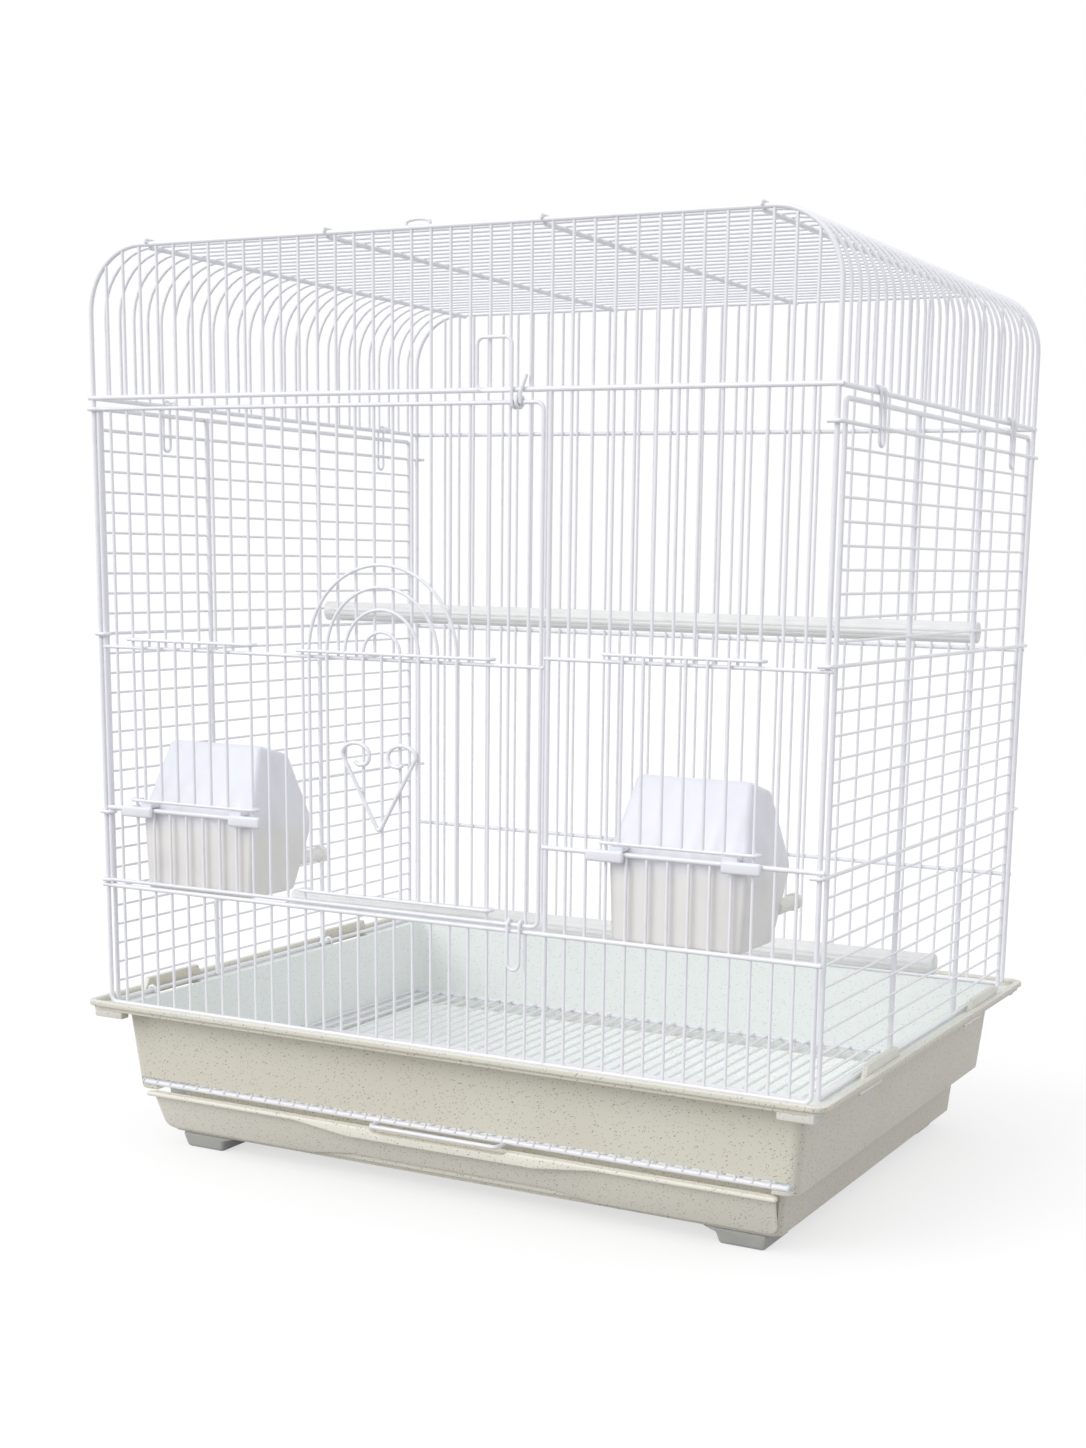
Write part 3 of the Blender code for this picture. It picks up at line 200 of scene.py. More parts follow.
def finishPiece(item, name, look, body, nodes, smoothAngle=40):
    item.name = name
    item.data.name = name
    item.data.materials.clear()
    item.data.materials.append(look)
    settle(item)
    bpy.ops.object.shade_smooth_by_angle(angle=math.radians(smoothAngle))
    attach(item, body)
    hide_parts(*nodes)


def finishWires(parts, name, body, nodes):
    finishPiece(joinParts(parts), name, enamelLook, body, nodes)


# Wire

wireLook = {
    "sides": 10,
    "endRounding": 0.25,       # share of the wire's thickness
    "tubeRings": 3,            # gives a bent wire 10 sides too
}


def roundEnds(item, thickness):
    return softenEdges(item, thickness * wireLook["endRounding"], 1, 60)


def rod(start, end, thickness):
    start, end = Vector(start), Vector(end)
    along = end - start
    deselectAll()
    bpy.ops.mesh.primitive_cylinder_add(
        vertices=wireLook["sides"], radius=thickness / 2, depth=along.length,
        location=(start + end) / 2, rotation=along.to_track_quat("Z", "Y").to_euler())
    return roundEnds(settle(bpy.context.object), thickness)


def repeat(item, step, count):
    array = item.modifiers.new("row", "ARRAY")
    array.use_relative_offset = False
    array.use_constant_offset = True
    array.constant_offset_displace = step
    array.count = count
    applyModifiers(item)
    return item


def rodRow(start, end, thickness, step, count):
    return repeat(rod(start, end, thickness), step, count)


def bentWire(route, thickness, closed=False):
    curve = bpy.data.curves.new("bentWire", "CURVE")
    curve.dimensions = "3D"
    curve.bevel_depth = thickness / 2
    curve.bevel_resolution = wireLook["tubeRings"]
    curve.use_fill_caps = True
    spline = curve.splines.new("POLY")
    spline.points.add(len(route) - 1)
    for point, place in zip(spline.points, route):
        point.co = (*place, 1)
    spline.use_cyclic_u = closed
    item = bpy.data.objects.new("bentWire", curve)
    bpy.context.scene.collection.objects.link(item)
    pick(item)
    bpy.ops.object.convert(target="MESH")
    item = bpy.context.object
    return item if closed else roundEnds(item, thickness)


def bend(corners, radii, steps=6, closed=False):
    # corners of a route, each rounded with its own radius or with one for all
    corners = [Vector(corner) for corner in corners]
    count = len(corners)
    if not isinstance(radii, list):
        radii = [radii] * count
    route = []
    for number, corner in enumerate(corners):
        if number in (0, count - 1) and not closed:
            route.append(corner)
            continue
        radius = radii[number]
        before = (corners[number - 1] - corner).normalized()
        after = (corners[(number + 1) % count] - corner).normalized()
        half = before.angle(after) / 2
        centre = corner + (before + after).normalized() * radius / math.sin(half)
        start = (corner + before * radius / math.tan(half) - centre).normalized()
        end = (corner + after * radius / math.tan(half) - centre).normalized()
        route += [centre + start.slerp(end, step / steps) * radius for step in range(steps + 1)]
    return route


def turn(centre, radius, start, end, across, along, steps=8):
    # an arc in the plane of two directions, angles in degrees
    angles = [math.radians(start + (end - start) * step / steps) for step in range(steps + 1)]
    return [Vector(centre) + across * radius * math.cos(angle) + along * radius * math.sin(angle) for angle in angles]


# Places that come from the imported model

cage = {
    "wire": 0.0017,            # upright wires, front and back
    "bar": 0.0026,             # cross bars and borders
    "doorBar": 0.0020,         # cross bars of the doors
    "sideWire": 0.0014,        # level wires of the side panels
    "post": 0.0030,            # thick posts of the side panels
    "frontGaps": 38,
    "depthGaps": 28,
    "sideGaps": 30,
    "archRadius": 0.0360,      # outer corner of the roof
    "weld": 0.0005,            # how far cross bars stand in front of the uprights
    "bite": 0.0002,            # how deep wires that lie on each other are welded together
    "barEnd": 0.0020,          # how far cross bars run past the posts
    "over": 0.3,               # wire ends past a bar's middle, as a share of the bar
    "borderCorner": 0.004,
    "supportEnd": 0.0014,      # wire that holds a roof support to the front arch
}


def middle(node, axis):
    low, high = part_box(node)
    return (low[axis] + high[axis]) / 2


bar = cage["bar"]
wire = cage["wire"]
doorBar = cage["doorBar"]
over = bar * cage["over"]
halfWidth = -middle("door_hinge_post", 0)
frontY = middle("door_hinge_post", 1)
backY = -frontY
barY = frontY - cage["weld"]
wirePitch = 2 * halfWidth / cage["frontGaps"]
depthPitch = (backY - frontY) / cage["depthGaps"]
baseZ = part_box("front_lower_panel")[0].z + bar / 2
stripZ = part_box("front_lower_panel")[1].z - bar / 2
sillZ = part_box("front_cup_sill")[1].z - bar / 2
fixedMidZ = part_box("front_upper_panel")[0].z + doorBar / 2
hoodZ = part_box("front_hood_panel")[0].z + bar / 2
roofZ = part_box("front_hood_panel")[1].z
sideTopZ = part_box("side_panel_left")[1].z - bar / 2
sideStep = (sideTopZ - baseZ) / cage["sideGaps"]
doorBaseZ = middle("door_sill", 2)
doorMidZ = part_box("door_upper_panel")[0].z + doorBar / 2
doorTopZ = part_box("door_upper_panel")[1].z - doorBar / 2
archRadius = cage["archRadius"] - bar / 2
archZ = roofZ - bar / 2


def upright(number):
    return -halfWidth + wirePitch * number


def archHeight(x):
    past = abs(x) - (halfWidth - archRadius)
    if past <= 0:
        return archZ
    return archZ - archRadius + math.sqrt(max(archRadius ** 2 - past ** 2, 0))


# Materials

mixFirst, mixSecond, mixResult = 6, 7, 2       # colour sockets of a Mix node


def feed(tree, node, inputs):
    # an input takes a value or another node's output
    for socket, value in inputs.items():
        if isinstance(value, bpy.types.NodeSocket):
            tree.links.new(value, node.inputs[socket])
        else:
            node.inputs[socket].default_value = value
    return node


def addNode(tree, kind, inputs=None, **settings):
    node = tree.nodes.new("ShaderNode" + kind)
    for setting, value in settings.items():
        setattr(node, setting, value)
    return feed(tree, node, inputs or {})


def calculate(tree, operation, first, second):
    return addNode(tree, "Math", {0: first, 1: second}, operation=operation).outputs["Value"]


def newMaterial(name, colour, roughness):
    material = bpy.data.materials.new(name)
    material.use_nodes = True
    tree = material.node_tree
    shader = tree.nodes["Principled BSDF"]
    return material, tree, feed(tree, shader, {"Base Color": (*colour, 1), "Roughness": roughness})


def objectPattern(tree, kind, scale, turned=(0, 0, 0), stretch=(1, 1, 1)):
    # on the object's own coordinates: turned first, then drawn out along its own X
    place = addNode(tree, "TexCoord").outputs["Object"]
    mapping = addNode(tree, "Mapping", {"Vector": place, "Rotation": turned, "Scale": stretch}, vector_type="TEXTURE")
    return addNode(tree, kind, {"Vector": mapping.outputs["Vector"], "Scale": scale}).outputs


def noise(tree, scale):
    return objectPattern(tree, "TexNoise", scale)["Fac"]


def rampFrom(tree, source, low, high):
    return addNode(tree, "MapRange", {"Value": source, "From Min": low, "From Max": high}).outputs["Result"]


def patches(tree, scale, low, high):
    return rampFrom(tree, noise(tree, scale), low, high)


def mixColours(tree, share, *colours):
    first, second = ((*colour, 1) if isinstance(colour, tuple) else colour for colour in colours)
    return addNode(tree, "Mix", {0: share, mixFirst: first, mixSecond: second}, data_type="RGBA").outputs[mixResult]


def addBump(tree, shader, height, strength, distance):
    bump = addNode(tree, "Bump", {"Height": height, "Strength": strength, "Distance": distance})
    feed(tree, shader, {"Normal": bump.outputs["Normal"]})


def addGrain(tree, shader, scale, strength, depth):
    addBump(tree, shader, noise(tree, scale), strength, depth)


enamel = {
    "colour": (0.86, 0.86, 0.895),
    "thin": (0.82, 0.82, 0.865),           # where the coat is thinner
    "patch": (90, 0.58, 0.72),             # patches per metre, and the noise where they begin and end
    "roughness": 0.32,
    "coat": 0.35,
    "coatRoughness": 0.12,
    "grain": (900, 0.12, 0.0001),          # fine orange peel: cells per metre, strength, depth
}


def enamelMaterial():
    material, tree, shader = newMaterial("whiteWireEnamel", enamel["colour"], enamel["roughness"])
    colour = mixColours(tree, patches(tree, *enamel["patch"]), enamel["colour"], enamel["thin"])
    feed(tree, shader, {"Coat Weight": enamel["coat"], "Coat Roughness": enamel["coatRoughness"],
                        "Base Color": colour})
    addGrain(tree, shader, *enamel["grain"])
    return material


speckled = {
    "roughness": 0.42,
    "drift": (9, 0.35, 0.65),              # slow change to the paler colour
    "grain": (700, 0.10, 0.0002),
    "fleckEdge": 0.55,
    # short fibres: cells per metre, how long they are drawn out, their turn and their size in a cell
    "flecks": ((620, 4.0, (0.2, -0.5, 0.3), 0.21), (560, 4.2, (1.1, 0.9, -0.5), 0.20),
               (640, 3.6, (0.7, -0.2, 1.2), 0.21), (520, 4.0, (0.4, 0.35, -1.0), 0.20)),
    "fleckShare": 0.42,                    # cells without one
    # colour, paler colour, tints of the flecks as shares of the colour, and an emission glow that paints on light
    # coming through the plastic
    "looks": {
        "speckledCream": ((0.700, 0.665, 0.560), (0.725, 0.700, 0.605), (0.46, 0.64), 0),
        # painted light inside the tub: a paler, minty, glowing copy of the cream
        "speckledInsidePaintedLight": ((0.765, 0.80, 0.775), (0.765, 0.80, 0.775), (0.72, 0.84), 0.09),
        # painted light on the drawer's inner faces: a paler, glowing copy of the cream
        "speckledFloorPaintedLight": ((0.84, 0.87, 0.84), (0.84, 0.87, 0.84), (0.72, 0.84), 0.15),
        # painted light on the rim's upper faces and the lugs: a paler copy of the cream
        "speckledRimPaintedLight": ((0.76, 0.755, 0.685), (0.76, 0.755, 0.685), (0.72, 0.84), 0),
        # painted light on the drawer: a paler copy of the cream, for a plate that leans away from the light
        "speckledDrawerPaintedLight": ((0.84, 0.81, 0.71), (0.84, 0.81, 0.71), (0.46, 0.64), 0),
    },
}


def fleckPattern(tree, scale, long, turned, size):
    cells = objectPattern(tree, "TexVoronoi", scale, turned, (long, 1, 1))
    near = rampFrom(tree, cells["Distance"], size, size * speckled["fleckEdge"])
    red = addNode(tree, "SeparateColor", {"Color": cells["Color"]}).outputs["Red"]
    return calculate(tree, "MULTIPLY", near, calculate(tree, "GREATER_THAN", red, speckled["fleckShare"]))


def speckledMaterial(name):
    base, pale, tints, glow = speckled["looks"][name]
    material, tree, shader = newMaterial(name, base, speckled["roughness"])
    colour = mixColours(tree, patches(tree, *speckled["drift"]), base, pale)
    for number, fleck in enumerate(speckled["flecks"]):
        tint = tuple(channel * tints[number % 2] for channel in base)
        colour = mixColours(tree, fleckPattern(tree, *fleck), colour, tint)
    # the emission is painted light, a glow in the plastic's own colour
    feed(tree, shader, {"Base Color": colour, "Emission Color": (*base, 1), "Emission Strength": glow})
    addGrain(tree, shader, *speckled["grain"])
    return material


cupPlastic = {
    # the hood's bluish tint is painted light, the light that comes through it from behind
    "hood": (0.83, 0.84, 0.90),            # lit through from behind
    "bowl": (0.84, 0.825, 0.80),
    "fade": (0.190, 0.206),                # heights between which the bowl's tint gives way
    "cloudy": (0.74, 0.73, 0.72),
    "cloud": (45, 0.45, 0.95),
    "roughness": 0.30,
    "glow": (0.15, 0.004),                 # share and depth of the light that goes in
    "bump": (0.05, 0.0004),
}


def cupMaterial():
    material, tree, shader = newMaterial("cupPlastic", cupPlastic["bowl"], cupPlastic["roughness"])
    place = addNode(tree, "TexCoord").outputs["Object"]
    height = addNode(tree, "SeparateXYZ", {"Vector": place}).outputs["Z"]
    # painted light: the upper part fades to the hood's bluish, lit-through colour
    colour = mixColours(tree, rampFrom(tree, height, *cupPlastic["fade"]), cupPlastic["bowl"], cupPlastic["hood"])
    scale, low, high = cupPlastic["cloud"]
    cloud = noise(tree, scale)
    colour = mixColours(tree, rampFrom(tree, cloud, low, high), colour, cupPlastic["cloudy"])
    share, depth = cupPlastic["glow"]
    feed(tree, shader, {"Base Color": colour, "Subsurface Weight": share, "Subsurface Radius": (depth,) * 3})
    addBump(tree, shader, cloud, *cupPlastic["bump"])
    return material


plainPattern = {"cloud": (60, 0.40, 0.75), "grain": (1100, 0.10, 0.0001)}
plainPlastics = {
    "perchPlastic": {"colour": (0.85, 0.85, 0.84), "shade": (0.79, 0.79, 0.775), "roughness": 0.38},
    "creamPlastic": {"colour": (0.87, 0.86, 0.82), "shade": (0.83, 0.815, 0.765), "roughness": 0.40},
    "greyPlastic": {"colour": (0.50, 0.50, 0.475), "shade": (0.44, 0.44, 0.42), "roughness": 0.50},
}


def plainPlastic(name):
    values = plainPlastics[name]
    material, tree, shader = newMaterial(name, values["colour"], values["roughness"])
    share = patches(tree, *plainPattern["cloud"])
    feed(tree, shader, {"Base Color": mixColours(tree, share, values["colour"], values["shade"])})
    addGrain(tree, shader, *plainPattern["grain"])
    return material


enamelLook = enamelMaterial()
tubLook, paintedLightInsideLook, paintedLightFloorLook, paintedLightRimLook, paintedLightDrawerLook = (speckledMaterial(name) for name in speckled["looks"])
cupLook = cupMaterial()
perchLook, creamLook, footLook = (plainPlastic(name) for name in plainPlastics)


# Tub

tub = {
    "rimOut": 0.0112,          # rim outside the wire panels
    "rimCorner": 0.0078,
    "lip": 0.0040,             # raised lip round the flange
    "lipThick": 0.0030,
    "flangeDrop": 0.0033,      # flange below the lip
    "flangeIn": 0.0018,        # flange's edge inside the lip's
    "wall": 0.0022,
    "wallIn": 0.0052,          # tub wall inside the panels, at the flange
    "wallInBase": 0.0096,      # and at the ledge
    "ledge": 0.0520,
    "bodyIn": 0.0206,
    "bodyInBase": 0.0228,
    "base": 0.0813,            # underside below the rim
    "frontWallBase": 0.0469,
    "bodyCorner": 0.0065,
    "edge": 0.0012,            # rounding of the moulded edges
    "guard": (0.0032, 0.0560, 0.0050),     # thickness, length, height above the rim
    "guardSlope": 0.0050,      # how far a guard's ends lean in
    "guardShift": 0.0110,      # guard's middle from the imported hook's leg
    "guardEdge": 0.0008,
    "slot": (0.0090, 0.0430),
    "slotFrom": (0.0006, 0.0012),          # its start from the wall and from the leg
    "slotRise": 0.0008,        # how high it cuts into the guard's foot
    "lug": (0.0198, 0.0085, 0.0064),       # under each corner of the rim: width, depth, height
    "lugIn": 0.0058,
    "lugEdge": 0.0006,
    "lugZone": 0.0095,         # corner of the rim that holds a lug
}
baseHook = {
    "back": 0.0150,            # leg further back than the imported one
    "drop": 0.0024,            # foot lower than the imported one
    "bend": 0.0025,
}
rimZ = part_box("base_tub")[1].z - tub["guard"][2]
flangeZ = rimZ - tub["flangeDrop"]
ledgeZ = rimZ - tub["ledge"]
tubBaseZ = rimZ - tub["base"]


def steppedBlock(halfX, halfY, corner, steps, centreY=0):
    # a rounded rectangle drawn down through (inset, height) steps
    inset, height = steps[0]
    deselectAll()
    bpy.ops.mesh.primitive_plane_add(size=2, location=(0, centreY, height))
    item = bpy.context.object
    item.scale = (halfX - inset, halfY - inset, 1)
    openMesh(settle(item))
    bpy.ops.mesh.select_all(action="SELECT")
    bpy.ops.mesh.bevel(offset=corner, segments=8, affect="VERTICES")
    for nextInset, nextHeight in steps[1:]:
        ratio = ((halfX - nextInset) / (halfX - inset), (halfY - nextInset) / (halfY - inset), 1)
        bpy.ops.mesh.extrude_region_move(TRANSFORM_OT_translate={"value": (0, 0, nextHeight - height)})
        bpy.ops.transform.resize(value=ratio, center_override=(0, centreY, nextHeight))
        inset, height = nextInset, nextHeight
    bpy.ops.mesh.select_all(action="SELECT")
    bpy.ops.mesh.normals_make_consistent(inside=False)
    closeMesh()
    return item


def roundedSteps(corners, radius):
    # corners of a section as (inset, height), rounded, for steppedBlock
    route = bend([(inset, 0, height) for inset, height in corners], radius, 3)
    return [(point.x, point.z) for point in route]


def addTub():
    halfX = halfWidth + tub["rimOut"]
    halfY = backY + tub["rimOut"]
    wall, wallBase, body, bodyBase = (
        tub["rimOut"] + tub[value] for value in ("wallIn", "wallInBase", "bodyIn", "bodyInBase"))
    thick, edge, lip, flangeIn = tub["wall"], tub["edge"], tub["lip"], tub["flangeIn"]
    under = flangeZ - thick
    lipBase = rimZ - tub["lipThick"]
    floorEdge = edge * 4

    rim = steppedBlock(halfX, halfY, tub["rimCorner"], roundedSteps([
        (edge * 1.5, rimZ), (0, rimZ), (0, lipBase), (flangeIn, lipBase), (flangeIn, under), (wall, under)],
        edge * 0.5))
    recess = steppedBlock(halfX, halfY, tub["rimCorner"] - lip, roundedSteps([
        (lip - edge, rimZ + edge), (lip, rimZ - edge), (lip, flangeZ), (lip + edge * 3, flangeZ)], edge * 0.4))
    combine(rim, recess, "DIFFERENCE")
    shell = steppedBlock(halfX, halfY, tub["bodyCorner"], roundedSteps([
        (wall, flangeZ - thick / 2), (wall, under), (wallBase, ledgeZ - thick), (body, ledgeZ - thick),
        (bodyBase, tubBaseZ), (bodyBase + floorEdge, tubBaseZ)], edge * 0.6))
    combine(shell, rim, "UNION")
    hollow = steppedBlock(halfX, halfY, tub["bodyCorner"] - thick / 2, roundedSteps([
        (wall + thick, rimZ + edge), (wall + thick, flangeZ - edge),
        (wallBase + thick, ledgeZ), (body + thick, ledgeZ),
        (bodyBase + thick, tubBaseZ + thick), (bodyBase + thick + floorEdge, tubBaseZ + thick)], edge * 0.6))
    combine(shell, hollow, "DIFFERENCE")
    cutMouths(shell)
    addGuards(shell)
    addLugs(shell, halfX, halfY)
    finishPiece(shell, "tub", tubLook, "cage", ["base_tub"], 32)
    # painted light: a paler colour on the rim's upper faces, the guards and the lugs
    repaint(shell, paintedLightRimLook, paintedLightOnRim)
    # painted light: a brighter, glowing colour on the faces inside the tub
    paintLightInside(shell, paintedLightInsideLook, halfWidth - tub["wallIn"], backY - tub["wallIn"], flangeZ, 0)


def paintedLightOnRim(place, normal):
    # painted light: the upper faces of the rim, the guards' inner faces and the lugs under the corners get a paler copy
    # of the cream
    upper = place.z > flangeZ - 0.0005 and (normal.z > 0.3 or place.z > rimZ + 0.0005)
    atCorner = abs(place.x) > halfWidth - tub["lugZone"] and abs(place.y) > backY + tub["rimOut"] * 0.5
    return upper or atCorner and rimZ - tub["lugZone"] < place.z < rimZ - tub["lipThick"] - 0.0005


def paintLightInside(item, look, halfX, halfY, high, centreY):
    # painted light: the faces that look inward or up inside the walls get a brighter, glowing copy of the plastic, as
    # if lit from above
    def inside(place, normal):
        deep = place.y - centreY
        inward = place.x * normal.x < 0 and abs(normal.x) > 0.5 or deep * normal.y < 0 and abs(normal.y) > 0.5
        return abs(place.x) < halfX and abs(deep) < halfY and place.z < high and (inward or normal.z > 0.5)

    repaint(item, look, inside)


def cutMouths(shell):
    # the drawer's mouth, and above it the slit that the grate slides through
    thick = tub["wall"]
    inside = halfWidth - tub["bodyIn"] - thick
    insideBase = halfWidth - tub["bodyInBase"] - thick
    near = frontY - tub["rimOut"]
    top = rimZ - tub["frontWallBase"]
    floor = tubBaseZ + thick
    mouth = block((-inside, near, floor), (inside, frontY + tub["bodyInBase"] + 3 * thick, top))
    openMesh(mouth)
    cutAcross(upward, ledgeZ)
    scalePoints(mouth, lambda place: place.z < floor + thick / 2, (insideBase / inside, 1, 1), (0, 0, floor))
    closeMesh()
    combine(shell, mouth, "DIFFERENCE")
    slit = halfWidth - tub["wallInBase"] - thick
    combine(shell, block((-slit, near, ledgeZ), (slit, frontY + tub["wallInBase"] + 3 * thick, top)), "DIFFERENCE")


def addGuards(shell):
    # a guard on the rim beside each hook, and a slot for the hook's leg
    thick, length, rise = tub["guard"]
    slope = 2 * tub["guardSlope"] / length
    slotWide, slotLong = tub["slot"]
    slotIn, slotPast = tub["slotFrom"]
    slotIn += halfWidth - tub["wallIn"]
    for number in (1, 2, 3, 4):
        side = 1 if number < 3 else -1
        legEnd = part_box(f"base_hook_{number}")[1 if side > 0 else 0].y
        middleY = legEnd - side * tub["guardShift"]
        inner = side * (halfWidth + bar / 2 + wire + 3 * gap)
        guard = block((inner, middleY - length / 2, flangeZ - tub["wall"] / 2),
                      (inner + side * thick, middleY + length / 2, rimZ + rise))
        openMesh(guard)
        scalePoints(guard, lambda place: place.z > rimZ, (1, 1 - slope, 1), (inner, middleY, rimZ))
        closeMesh()
        combine(shell, softenEdges(guard, tub["guardEdge"]), "UNION")
        start = legEnd + side * (slotPast + baseHook["back"])
        slot = block((side * slotIn, start, flangeZ - tub["wall"] - close),
                     (side * (slotIn + slotWide), start - side * slotLong, flangeZ + tub["slotRise"]))
        combine(shell, slot, "DIFFERENCE")


def addLugs(shell, halfX, halfY):
    # under the rim's corners, each a piece of a ring that follows the rim's outline
    width, depth, height = tub["lug"]
    under = rimZ - tub["lipThick"]
    inset = tub["flangeIn"] + gap
    outer = halfX - tub["lugIn"]
    for sideX, sideY in ((-1, -1), (-1, 1), (1, -1), (1, 1)):
        lug = steppedBlock(halfX, halfY, tub["rimCorner"] - inset,
                           [(inset, under - height), (inset, under - tub["wall"] / 2)])
        combine(lug, block((sideX * outer, sideY * halfY, under - 2 * height),
                           (sideX * (outer - width), sideY * (halfY - depth), under)), "INTERSECT")
        combine(shell, softenEdges(lug, tub["lugEdge"]), "UNION")


foot = {
    "inside": 0.0080,          # how much wider a foot is at its top, on its inner side
    "forward": 0.0080,         # the front feet reach under the drawer's plate
    "taper": 0.87,
    "rounding": 0.0020,
}


def addFeet():
    for number in (1, 2, 3, 4):
        low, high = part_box(f"foot_{number}")
        if low.y < 0:
            low = low - back * foot["forward"]
        item = block(low, high)
        centre = ((low.x + high.x) / 2, (low.y + high.y) / 2, low.z)
        side = 1 if centre[0] > 0 else -1
        openMesh(item)
        scalePoints(item, lambda place: place.z < (low.z + high.z) / 2, (foot["taper"], foot["taper"], 1), centre)
        cutAcross(upward, low.z * 0.3 + high.z * 0.7)
        movePoints(item, lambda place: place.z > high.z - close and (place.x - centre[0]) * side < 0,
                   (-side * foot["inside"], 0, 0))
        closeMesh()
        softenEdges(item, foot["rounding"], 3, 15)
        finishPiece(item, f"foot{number}", footLook, "cage", [f"foot_{number}"])


# Drawer

drawer = {
    "wall": 0.0020,
    "half": 0.1900,
    "halfBase": 0.1880,
    "corner": 0.0080,
    "front": -0.1400,
    "rim": 0.0560,             # rim of the tray below the tub's rim
    "floorEdge": 0.006,
    "edge": 0.0012,
    "plateTop": (0.1966, -0.1554),
    "plateBase": (0.1950, -0.1453),
    "plateCorner": 0.0050,     # rounding of its lower corners
    "plate": 0.0026,
    "plateEdge": 0.0009,
    "lipHalf": 0.1987,
    "lip": 0.0032,             # how far the top lip stands out
    "lipIn": 0.0008,           # and how far it goes into the plate
    "lipDeep": 0.0026,
    "lipEdge": 0.0010,
    "pullHalf": 0.0950,        # half width of the deeper lip in the middle
    "pullDeep": 0.0068,
    "pullSlope": 0.0360,
    "dip": (0.0440, 0.0022),   # lower top edge behind the grate's handle
    "dipSlope": 0.0030,
    "notchHalf": 0.0635,       # raised lower edge in the middle
    "notchSlope": 0.0280,
    "notch": 0.0040,
    "shoulderIn": (0.0040, 0.0016),        # shoulder inside the plate's lower edge, at its ends and its front
    "shoulderRise": 0.0040,
    "shoulderEdge": 0.0005,
}


def addDrawer():
    base = tubBaseZ + tub["wall"] + gap
    rim = rimZ - drawer["rim"]
    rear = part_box("drawer")[1].y
    half, thick, floorEdge = drawer["half"], drawer["wall"], drawer["floorEdge"]
    halfY = (rear - drawer["front"]) / 2
    centreY = (rear + drawer["front"]) / 2
    inset = half - drawer["halfBase"]
    tray = steppedBlock(half, halfY, drawer["corner"], roundedSteps([
        (0, rim), (inset, base), (inset + floorEdge, base)], drawer["edge"]), centreY)
    hollow = steppedBlock(half, halfY, drawer["corner"] - thick, roundedSteps([
        (thick, rim + thick), (thick + inset, base + thick), (thick + inset + floorEdge, base + thick)],
        drawer["edge"]), centreY)
    combine(tray, hollow, "DIFFERENCE")
    combine(tray, drawerPlate(base, ledgeZ - tub["wall"] - gap), "UNION")
    # painted light: the whole drawer gets a paler copy of the tub's cream
    finishPiece(tray, "drawer", paintedLightDrawerLook, "drawer", ["drawer"], 32)
    # painted light: a brighter, glowing colour on the drawer's inner faces
    paintLightInside(tray, paintedLightFloorLook, half - thick / 2, halfY - thick / 2, rim, centreY)


def drawerPlate(base, top):
    topHalf, topFront = drawer["plateTop"]
    baseHalf, baseFront = drawer["plateBase"]
    thick, notch, notchHalf = drawer["plate"], drawer["notch"], drawer["notchHalf"]
    plate = block((-topHalf, topFront, base), (topHalf, topFront + thick, top))
    openMesh(plate)
    notchOut = notchHalf + drawer["notchSlope"]
    for place in (-notchHalf, notchHalf, notchOut, -notchOut):
        cutAcross(right, place)

    def lowerEdge(test):
        return lambda place: place.z < base + thick / 2 and test(abs(place.x))

    # the lower edge is set back under the top, drawn in, and raised in the middle
    movePoints(plate, lowerEdge(lambda x: True), (0, baseFront - topFront, 0))
    scalePoints(plate, lowerEdge(lambda x: x > topHalf - thick), (baseHalf / topHalf, 1, 1), (0, 0, base))
    movePoints(plate, lowerEdge(lambda x: x < notchHalf + close),
               (0, (topFront - baseFront) * notch / (top - base), notch))
    selectPoints(plate, lowerEdge(lambda x: x > baseHalf - close))
    bpy.ops.mesh.bevel(offset=drawer["plateCorner"], segments=4, affect="EDGES")
    closeMesh()
    softenEdges(plate, drawer["plateEdge"])
    combine(plate, drawerLip(top, topFront), "UNION")
    # joins the plate to the tray, and shows as a shadowed band in the notch
    inEnd, inFront = drawer["shoulderIn"]
    half = drawer["halfBase"] - inEnd
    shoulder = block((-half, baseFront + inFront, base + gap),
                     (half, drawer["front"] + thick / 2, base + notch + drawer["shoulderRise"]))
    return combine(plate, softenEdges(shoulder, drawer["shoulderEdge"]), "UNION")


def drawerLip(top, front):
    half, deep, pull, slope = (drawer[value] for value in ("lipHalf", "lipDeep", "pullHalf", "pullSlope"))
    dipHalf, dipDeep = drawer["dip"]
    lip = block((-half, front - drawer["lip"], top - deep), (half, front + drawer["lipIn"], top))
    openMesh(lip)
    for place in (pull, pull - slope, dipHalf, dipHalf - drawer["dipSlope"]):
        cutAcross(right, place)
        cutAcross(right, -place)
    movePoints(lip, lambda place: place.z < top - deep / 2 and abs(place.x) < pull - slope + close,
               (0, 0, deep - drawer["pullDeep"]))
    movePoints(lip, lambda place: place.z > top - deep / 2 and abs(place.x) < dipHalf - 2 * close,
               (0, 0, -dipDeep))
    closeMesh()
    return softenEdges(lip, drawer["lipEdge"], 3)


# Grate over the drawer

grate = {
    "wire": 0.0018,
    "gaps": 42,
    "frontBar": 0.0034,
    "frontBarPlace": (-0.1530, 0.0502),    # in the slit of the tub's front wall, below the rim
    "levels": (0.0004, -0.0005, -0.0006),  # wires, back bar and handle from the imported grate's middle
    "tick": 0.0013,            # wire ends over the front bar
    "tickFrom": (-0.0020, 0.0004),         # their ends, from the front bar's middle
    "tickTo": (0.0004, 0.0023),
    "backBar": 0.0030,
    "crossBar": 0.0022,
    "handle": 0.0024,
    "handleCorner": 0.0030,
}


